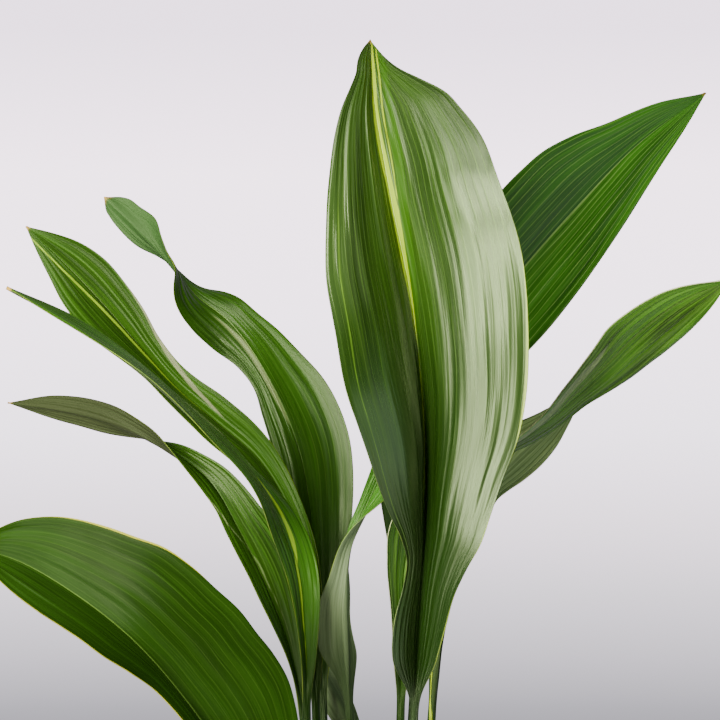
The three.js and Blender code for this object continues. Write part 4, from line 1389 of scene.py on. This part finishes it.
@dataclass
class Pot:
    """A plain round pot with a tapered wall and a straight band round its rim."""

    height: float = 178
    foot: float = 72
    body: float = 94
    rim: float = 101
    rim_height: float = 22
    wall: float = 6
    floor: float = 9
    edge: float = 2
    softening: float = 1.6
    bend_points: int = 7
    run_step: float = 5
    sectors: int = 160

    def wall_radius(self, height: float) -> float:
        """Outer radius of the wall, which widens evenly from the foot to the rim band."""
        return self.foot + (self.body - self.foot) * height / (self.height - self.rim_height)

    def corners(self) -> np.ndarray:
        """Lays out the half section with sharp corners.

        Returns:
            Rows of radius and height, from the middle underneath round to the floor's middle.
        """
        band, inner, edge = self.height - self.rim_height, self.body - self.wall, self.edge
        low = self.floor + 2 * edge
        return np.array([
            (0, 0), (self.foot - edge, 0), (self.wall_radius(edge), edge), (self.body, band),
            (self.rim - edge, band + edge), (self.rim, band + 2 * edge),
            (self.rim, self.height - edge), (self.rim - edge, self.height),
            (inner + edge, self.height), (inner, self.height - edge), (inner, band),
            (self.wall_radius(low) - self.wall, low),
            (self.wall_radius(self.floor) - self.wall - 2 * edge, self.floor),
            (0, self.floor)], float)

    def section(self) -> np.ndarray:
        """The half section with its corners rounded.

        Each corner P is left at A before it and met again at C after it, no more than a third of
        a run away, and between them runs the curve (1 - q)^2 A + 2 q (1 - q) P + q^2 C.

        Returns:
            Rows of radius and height, close enough together for even shading.
        """
        corners = self.corners()
        here, q = corners[1:-1], np.linspace(0, 1, self.bend_points)[None, :, None]
        ends = []
        for neighbour in (corners[:-2], corners[2:]):
            length = np.linalg.norm(neighbour - here, axis=1, keepdims=True)
            ends.append(here + (neighbour - here) / length * np.minimum(self.softening, length / 3))
        bends = ((1 - q) ** 2 * ends[0][:, None] + 2 * q * (1 - q) * here[:, None]
                 + q * q * ends[1][:, None])
        path = np.concatenate([corners[:1], bends.reshape(-1, 2), corners[-1:]])
        length = running_length(path)
        dense = np.unique(np.concatenate([length, np.arange(0, length[-1], self.run_step)]))
        return np.stack([np.interp(dense, length, path[:, k]) for k in (0, 1)], axis=1)

    def build(self) -> bpy.types.Object:
        """Turns the section about the upright axis and gives it its clay.

        Returns:
            The pot.
        """
        points, faces = turned(self.section(), self.sectors)
        obj = make_piece("pot_fine", points, faces, ("pot",))
        obj.data.materials.append(Stoneware().build())
        return obj


# ---------------------------------------------------------------- soil


@dataclass(frozen=True)
class Compost:
    """Damp dark potting compost.

    It is nearly black, rough and without gloss, mottled by damp and by the sizes of its crumbs,
    and single crumbs are dry and browner. Pattern sizes are in millimetres.
    """

    wet: str = "#1a120c"
    earth: str = "#33241a"
    dry: str = "#6a4c33"
    damp_size: float = 18
    crumb_size: float = 2.2
    grit_size: float = 1.6

    def build(self) -> bpy.types.Material:
        """Makes the material.

        Returns:
            A material in the object's own metres, which reads a crumb's tone from its vertices.
        """
        material = bpy.data.materials.new("potting_compost")
        node = empty_tree(material)
        place = node("ShaderNodeTexCoord").outputs["Object"]
        damp = node("ShaderNodeTexNoise", {
            "Vector": place, "Scale": 1 / (self.damp_size * MM), "Detail": 2}).outputs[0]
        crumb = node("ShaderNodeTexNoise", {
            "Vector": place, "Scale": 1 / (self.crumb_size * MM), "Detail": 4}).outputs[0]
        grit = node("ShaderNodeTexVoronoi", {
            "Vector": place, "Scale": 1 / (self.grit_size * MM)}).outputs["Distance"]
        tone = node("ShaderNodeAttribute", attribute_name="tone").outputs["Fac"]
        earthy = node("ShaderNodeMapRange", {
            "Value": crumb, "From Min": 0.35, "From Max": 0.65}).outputs[0]
        drying = node("ShaderNodeMath", {0: damp, 1: crumb}, operation="MULTIPLY").outputs[0]
        drier = node("ShaderNodeMapRange", {
            "Value": drying, "From Min": 0.24, "From Max": 0.42, "To Max": 0.6}).outputs[0]
        colour = linear(self.wet)
        for share, shade in ((earthy, self.earth), (drier, self.dry), (tone, self.dry)):
            colour = node("ShaderNodeMix", {0: share, 6: colour, 7: linear(shade)},
                          data_type="RGBA").outputs[2]
        rough = node("ShaderNodeMapRange", {"Value": damp, "To Min": 0.8, "To Max": 1}).outputs[0]
        relief = node("ShaderNodeMath", {0: grit, 1: 0.5, 2: crumb},
                      operation="MULTIPLY_ADD").outputs[0]
        bump = node("ShaderNodeBump", {"Height": relief, "Distance": 0.8 * MM})
        shader = node("ShaderNodeBsdfPrincipled", {
            "Base Color": colour, "Roughness": rough, "Specular IOR Level": 0.25,
            "Normal": bump.outputs[0]})
        node("ShaderNodeOutputMaterial", {"Surface": shader.outputs[0]})
        return material


@dataclass
class SoilBed:
    """The filling of compost, level in the middle and lower at the pot's wall, and its crumbs.

    roots are the petioles' places. roughness is rows of (cell, height) of the noises that
    crumble the surface, and the mounds round the petioles have a height and a radius. Crumbs
    keep off the petioles by the clearing. All lengths are millimetres.
    """

    pot: Pot
    roots: np.ndarray
    edge_height: float = 158
    crown_height: float = 164
    crown_radius: float = 62
    gap: float = 0.3
    row_step: float = 1.1
    side_rows: int = 12
    sectors: int = 240
    roughness: Rows = ((11, 1.6), (4, 1.1), (1.5, 0.7))
    roughness_seed: int = 70
    mound_height: float = 1.8
    mound_radius: float = 8
    crumb_count: int = 460
    crumb_sizes: tuple[float, float] = (0.5, 1.7)
    crumb_seed: int = 4
    clearing: float = 6.5

    @property
    def reach(self) -> float:
        """Radius at which the soil meets the wall."""
        return self.pot.body - self.pot.wall - self.gap

    def from_roots(self, x: np.ndarray, y: np.ndarray) -> np.ndarray:
        """Distances from points to the nearest petiole.

        Args:
            x: first coordinates, in millimetres.
            y: second coordinates.

        Returns:
            A distance for each point.
        """
        apart = np.hypot(x[:, None] - self.roots[:, 0], y[:, None] - self.roots[:, 1])
        return apart.min(axis=1)

    def heights(self, x: np.ndarray, y: np.ndarray) -> np.ndarray:
        """Heights of the crumbled surface.

        The level crown slopes down to the wall; noises of three cell sizes roughen it, and round
        each petiole stands a mound, its height times exp(-(d / radius)^2) at distance d.

        Args:
            x: first coordinates, in millimetres.
            y: second coordinates.

        Returns:
            A height for each point.
        """
        beyond = np.hypot(x, y) - self.crown_radius
        slope = np.clip(beyond / (self.reach - self.crown_radius), 0, 1)
        level = self.crown_height + (self.edge_height - self.crown_height) * slope
        for seed, (cell, height) in enumerate(self.roughness, self.roughness_seed):
            level = level + height * (value_noise(x / cell, y / cell, seed) - 0.6)
        return level + self.mound_height * np.exp(-(self.from_roots(x, y) / self.mound_radius) ** 2)

    def build(self) -> tuple[bpy.types.Object, bpy.types.Object]:
        """Makes the filling and the loose crumbs on it, of the same compost.

        Returns:
            The filling and the crumbs.
        """
        compost = Compost().build()
        bed, crumbs = self.make_bed(), self.make_crumbs()
        for obj in (bed, crumbs):
            obj.data.materials.append(compost)
        return bed, crumbs

    def make_bed(self) -> bpy.types.Object:
        """Turns the filling like the pot, and lifts its top rows to the crumbled surface.

        Returns:
            The filling.
        """
        pot, gap = self.pot, self.gap
        low, bottom = pot.floor + 2 * pot.edge, pot.floor + gap
        rise = np.linspace(0, 1, self.side_rows)[:, None]
        foot = np.array([[pot.wall_radius(low) - pot.wall - gap, low + gap]])
        side = foot + (np.array([[self.reach, self.edge_height]]) - foot) * rise
        inward = np.linspace(self.reach, 0, int(self.reach / self.row_step))[1:]
        top = np.stack([inward, np.full(len(inward), self.crown_height)], axis=1)
        under = pot.wall_radius(pot.floor) - pot.wall - 2 * gap - 2 * pot.edge
        points, faces = turned(
            np.concatenate([[[0, bottom], [under, bottom]], side, top]), self.sectors)
        crown = np.arange(len(points)) >= (len(side) + 1) * self.sectors
        crown[-2] = False  # the pole underneath stays where it is
        points[crown, 2] = self.heights(points[crown, 0], points[crown, 1])
        return make_piece("soil_bed", points, faces, ("soil",))

    @staticmethod
    def lump() -> tuple[np.ndarray, np.ndarray]:
        """Works out the twenty-sided lump that every crumb starts from.

        Its twelve corners are the turns of (0, 1, g) with all signs, where g is the golden
        ratio, and its faces are the triples of corners that lie 2 apart from one another.

        Returns:
            The corners at distance 1 from the middle, and the faces, outward side out.
        """
        golden = (1 + math.sqrt(5)) / 2
        base = np.array([(0, a, b * golden) for a in (-1, 1) for b in (-1, 1)])
        corners = np.concatenate([np.roll(base, k, axis=1) for k in range(3)])
        triples = np.array(list(combinations(range(12), 3)))
        sides = np.linalg.norm(corners[triples] - corners[np.roll(triples, 1, axis=1)], axis=2)
        faces = triples[np.all(np.abs(sides - 2) < 0.01, axis=1)]
        a, b, c = (corners[faces[:, k]] for k in range(3))
        inward = np.einsum("ij,ij->i", np.cross(b - a, c - a), a + b + c) < 0
        faces[inward] = faces[inward][:, ::-1]
        return corners / math.hypot(1, golden), faces

    def make_crumbs(self) -> bpy.types.Object:
        """Scatters loose crumbs of many sizes, squashed, turned and half sunk at random.

        Returns:
            All crumbs in one piece, with a tone for each.
        """
        corners, faces = self.lump()
        rng = np.random.default_rng(self.crumb_seed)
        count = self.crumb_count
        radius = (self.reach - 2) * np.sqrt(rng.random(count))
        angle = 2 * np.pi * rng.random(count)
        x, y = radius * np.cos(angle), radius * np.sin(angle)
        free = self.from_roots(x, y) > self.clearing
        x, y = x[free], y[free]
        count = len(x)
        small, large = self.crumb_sizes
        size = small + (large - small) * rng.random(count) ** 2.5
        turn, _ = np.linalg.qr(rng.normal(size=(count, 3, 3)))
        turn *= np.sign(np.linalg.det(turn))[:, None, None]
        lumps = corners[None] * rng.uniform(0.6, 1.1, (count, 1, 3))
        lumps *= rng.uniform(0.85, 1.15, (count, len(corners), 1)) * size[:, None, None]
        centres = np.stack([x, y, self.heights(x, y) + 0.2 * size], axis=1)
        points = np.einsum("nij,nkj->nki", turn, lumps) + centres[:, None]
        every = faces[None] + len(corners) * np.arange(count)[:, None, None]
        obj = make_piece("soil_crumbs", points.reshape(-1, 3), [every.reshape(-1, 3)],
                         ("soil",))
        obj.data.polygons.foreach_set("use_smooth", np.zeros(len(obj.data.polygons), bool))
        set_values(obj, "tone", np.repeat(0.7 * rng.random(count) ** 2, len(corners)))
        return obj


# ---------------------------------------------------------------- studio


@dataclass(frozen=True)
class Softbox:
    """A rectangular area light in the plane of a window that faces a target.

    place is the window's middle and shift how far the light lies from there, across and up in
    the window's plane. Places and sizes are metres, power is watts, and colour is linear.
    """

    name: str
    place: Point
    target: Point
    size: tuple[float, float]
    power: float
    shift: tuple[float, float] = (0.0, 0.0)
    colour: Point = (1.0, 1.0, 1.0)

    def build(self) -> bpy.types.Object:
        """Makes the light, which the camera doesn't see.

        Returns:
            The light.
        """
        data = bpy.data.lights.new(self.name, "AREA")
        data.shape = "RECTANGLE"
        data.size, data.size_y = self.size
        data.energy = self.power
        data.color = self.colour
        lamp = bpy.data.objects.new(self.name, data)
        east, north, up = np.array(self.place, float) - np.array(self.target, float)
        lamp.rotation_euler = (math.atan2(math.hypot(east, north), up), 0, math.atan2(east, -north))
        turn = lamp.rotation_euler.to_matrix()
        lamp.location = Vector(self.place) + turn @ Vector((*self.shift, 0))
        lamp.visible_camera = False
        bpy.context.scene.collection.objects.link(lamp)
        return lamp


@dataclass
class Studio:
    """A plain pale floor, soft studio light, and the camera at the photograph's viewing angle.

    The camera's place and the floor's radius are metres; the lens and the floor's depth are
    millimetres.
    """

    camera_distance: float = 1.5
    camera_height: float = 0.62
    lens: float = 125
    floor_radius: float = 2.6
    floor_depth: float = 4
    floor_rings: int = 24
    floor_sectors: int = 96

    def build(self) -> None:
        """Makes the camera, the lights, the surroundings and the floor."""
        self.make_camera()
        self.make_lights()
        self.make_world()
        self.make_floor()

    def make_camera(self) -> None:
        """A level camera in front of the plant."""
        data = bpy.data.cameras.new("camera")
        data.lens = self.lens
        camera = bpy.data.objects.new("camera", data)
        camera.location = (0, -self.camera_distance, self.camera_height)
        camera.rotation_euler = (math.pi / 2, 0, 0)
        bpy.context.scene.collection.objects.link(camera)
        bpy.context.scene.camera = camera

    def make_lights(self) -> None:
        """A tall window of nine panes at the front left, a skylight, and weak fills at right."""
        window, aim, pane = (-0.80, -0.98, 1.04), (0.06, -0.09, 0.64), (0.27, 0.84)
        lights = [Softbox("pane", window, aim, pane, share * (15 + 5 * column),
                          (0.365 * column, 0.95 * row))
                  for column in (-1, 0, 1) for row, share in ((-0.5, 1), (0.5, 1), (1.5, 0.4))]
        lights += [Softbox("skylight", (-0.34, -0.48, 2.05), (0.0, -0.08, 0.75), (0.7, 0.6), 3),
                   Softbox("wall_fill", (1.0, -0.42, 0.5), (0.0, -0.08, 0.55), (1.15, 0.9), 4.5,
                           colour=(0.75, 0.97, 1.0)),
                   Softbox("fill", (0.45, -0.75, 1.75), (0.0, 0.0, 0.6), (0.9, 0.9), 1.5)]
        for light in lights:
            light.build()

    def make_world(self) -> None:
        """A pale backdrop behind the plant and a dim studio before it.

        What the camera sees is a ramp of colours, lighter upwards. What the plant is lit by is a
        weak grey that is brighter on the backdrop's side.
        """
        world = bpy.data.worlds.new("studio")
        node = empty_tree(world)
        place = node("ShaderNodeTexCoord").outputs["Generated"]
        direction = node("ShaderNodeSeparateXYZ", {0: place}).outputs
        rise = node("ShaderNodeMapRange", {
            "Value": direction["Z"], "From Min": -0.15, "From Max": 0.13}).outputs[0]
        seen = node("ShaderNodeValToRGB", {"Fac": rise})
        ramp = seen.color_ramp
        ramp.elements[0].color = (0.5, 0.48, 0.54, 1)
        ramp.elements[1].color = (2.9, 2.4, 2.95, 1)
        for position, shade in ((0.045, (0.65, 0.63, 0.7)), (0.2, (1.45, 1.35, 1.5)),
                                (0.31, (2.2, 1.95, 2.2)), (0.44, (3, 2.7, 3.1)),
                                (0.6, (3.6, 3.1, 3.6)), (0.8, (3.9, 3.25, 3.8))):
            ramp.elements.new(position).color = (*shade, 1)
        behind = node("ShaderNodeMapRange", {
            "Value": direction["Y"], "From Min": 0.2, "From Max": 0.8, "To Min": 0.03,
            "To Max": 0.35}, interpolation_type="SMOOTHSTEP").outputs[0]
        dim = node("ShaderNodeCombineXYZ", {0: behind, 1: behind, 2: behind}).outputs[0]
        rays = node("ShaderNodeLightPath")
        colour = node("ShaderNodeMix", {
            0: rays.outputs["Is Camera Ray"], 6: dim, 7: seen.outputs[0]},
            data_type="RGBA").outputs[2]
        background = node("ShaderNodeBackground", {"Color": colour})
        node("ShaderNodeOutputWorld", {"Surface": background.outputs[0]})
        bpy.context.scene.world = world

    def make_floor(self) -> None:
        """A pale round floor, one turned slab, whose rim melts into the backdrop."""
        reach = self.floor_radius / MM
        radius = np.linspace(reach, 0, self.floor_rings)
        top = np.stack([radius, np.zeros(self.floor_rings)], axis=1)
        under = [[0, -self.floor_depth], [reach, -self.floor_depth]]
        points, faces = turned(np.concatenate([under, top]), self.floor_sectors)
        floor = make_object("floor", points, faces)
        floor.data.materials.append(self.plaster())

    def plaster(self) -> bpy.types.Material:
        """Smooth matt plaster, which thins out to nothing over its outer part.

        It is faintly clouded in patches a third of a metre wide and has a grain of 1.7 mm.

        Returns:
            The floor's material.
        """
        material = bpy.data.materials.new("matt_plaster")
        node = empty_tree(material)
        place = node("ShaderNodeTexCoord").outputs["Object"]
        cloud = node("ShaderNodeTexNoise", {
            "Vector": place, "Scale": 3.5, "Detail": 4}).outputs[0]
        grain = node("ShaderNodeTexNoise", {
            "Vector": place, "Scale": 600, "Detail": 2}).outputs[0]
        colour = node("ShaderNodeMix", {0: cloud, 6: linear("#d2ced4"), 7: linear("#c6c1c7")},
                      data_type="RGBA").outputs[2]
        bump = node("ShaderNodeBump", {"Height": grain, "Distance": 0.2 * MM})
        shader = node("ShaderNodeBsdfPrincipled", {
            "Base Color": colour, "Roughness": 0.85, "Specular IOR Level": 0.2,
            "Normal": bump.outputs[0]})
        away = node("ShaderNodeVectorMath", {0: place}, operation="LENGTH").outputs["Value"]
        thin = node("ShaderNodeMapRange", {
            "Value": away, "From Min": 0.45 * self.floor_radius,
            "From Max": 0.98 * self.floor_radius}, interpolation_type="SMOOTHSTEP").outputs[0]
        clear = node("ShaderNodeBsdfTransparent")
        mixed = node("ShaderNodeMixShader", {
            0: thin, 1: shader.outputs[0], 2: clear.outputs[0]})
        node("ShaderNodeOutputMaterial", {"Surface": mixed.outputs[0]})
        return material


def main() -> None:
    """Builds the plant and its studio."""
    logging.basicConfig(level=logging.INFO, format="%(message)s")
    for form in LEAF_FORMS:
        Leaf(form, LEAF_FINISHES[form.name]).build()
    pot = Pot()
    pot.build()
    SoilBed(pot, np.array([form.root for form in LEAF_FORMS], float)).build()
    Studio().build()


if __name__ == "__main__":
    main()
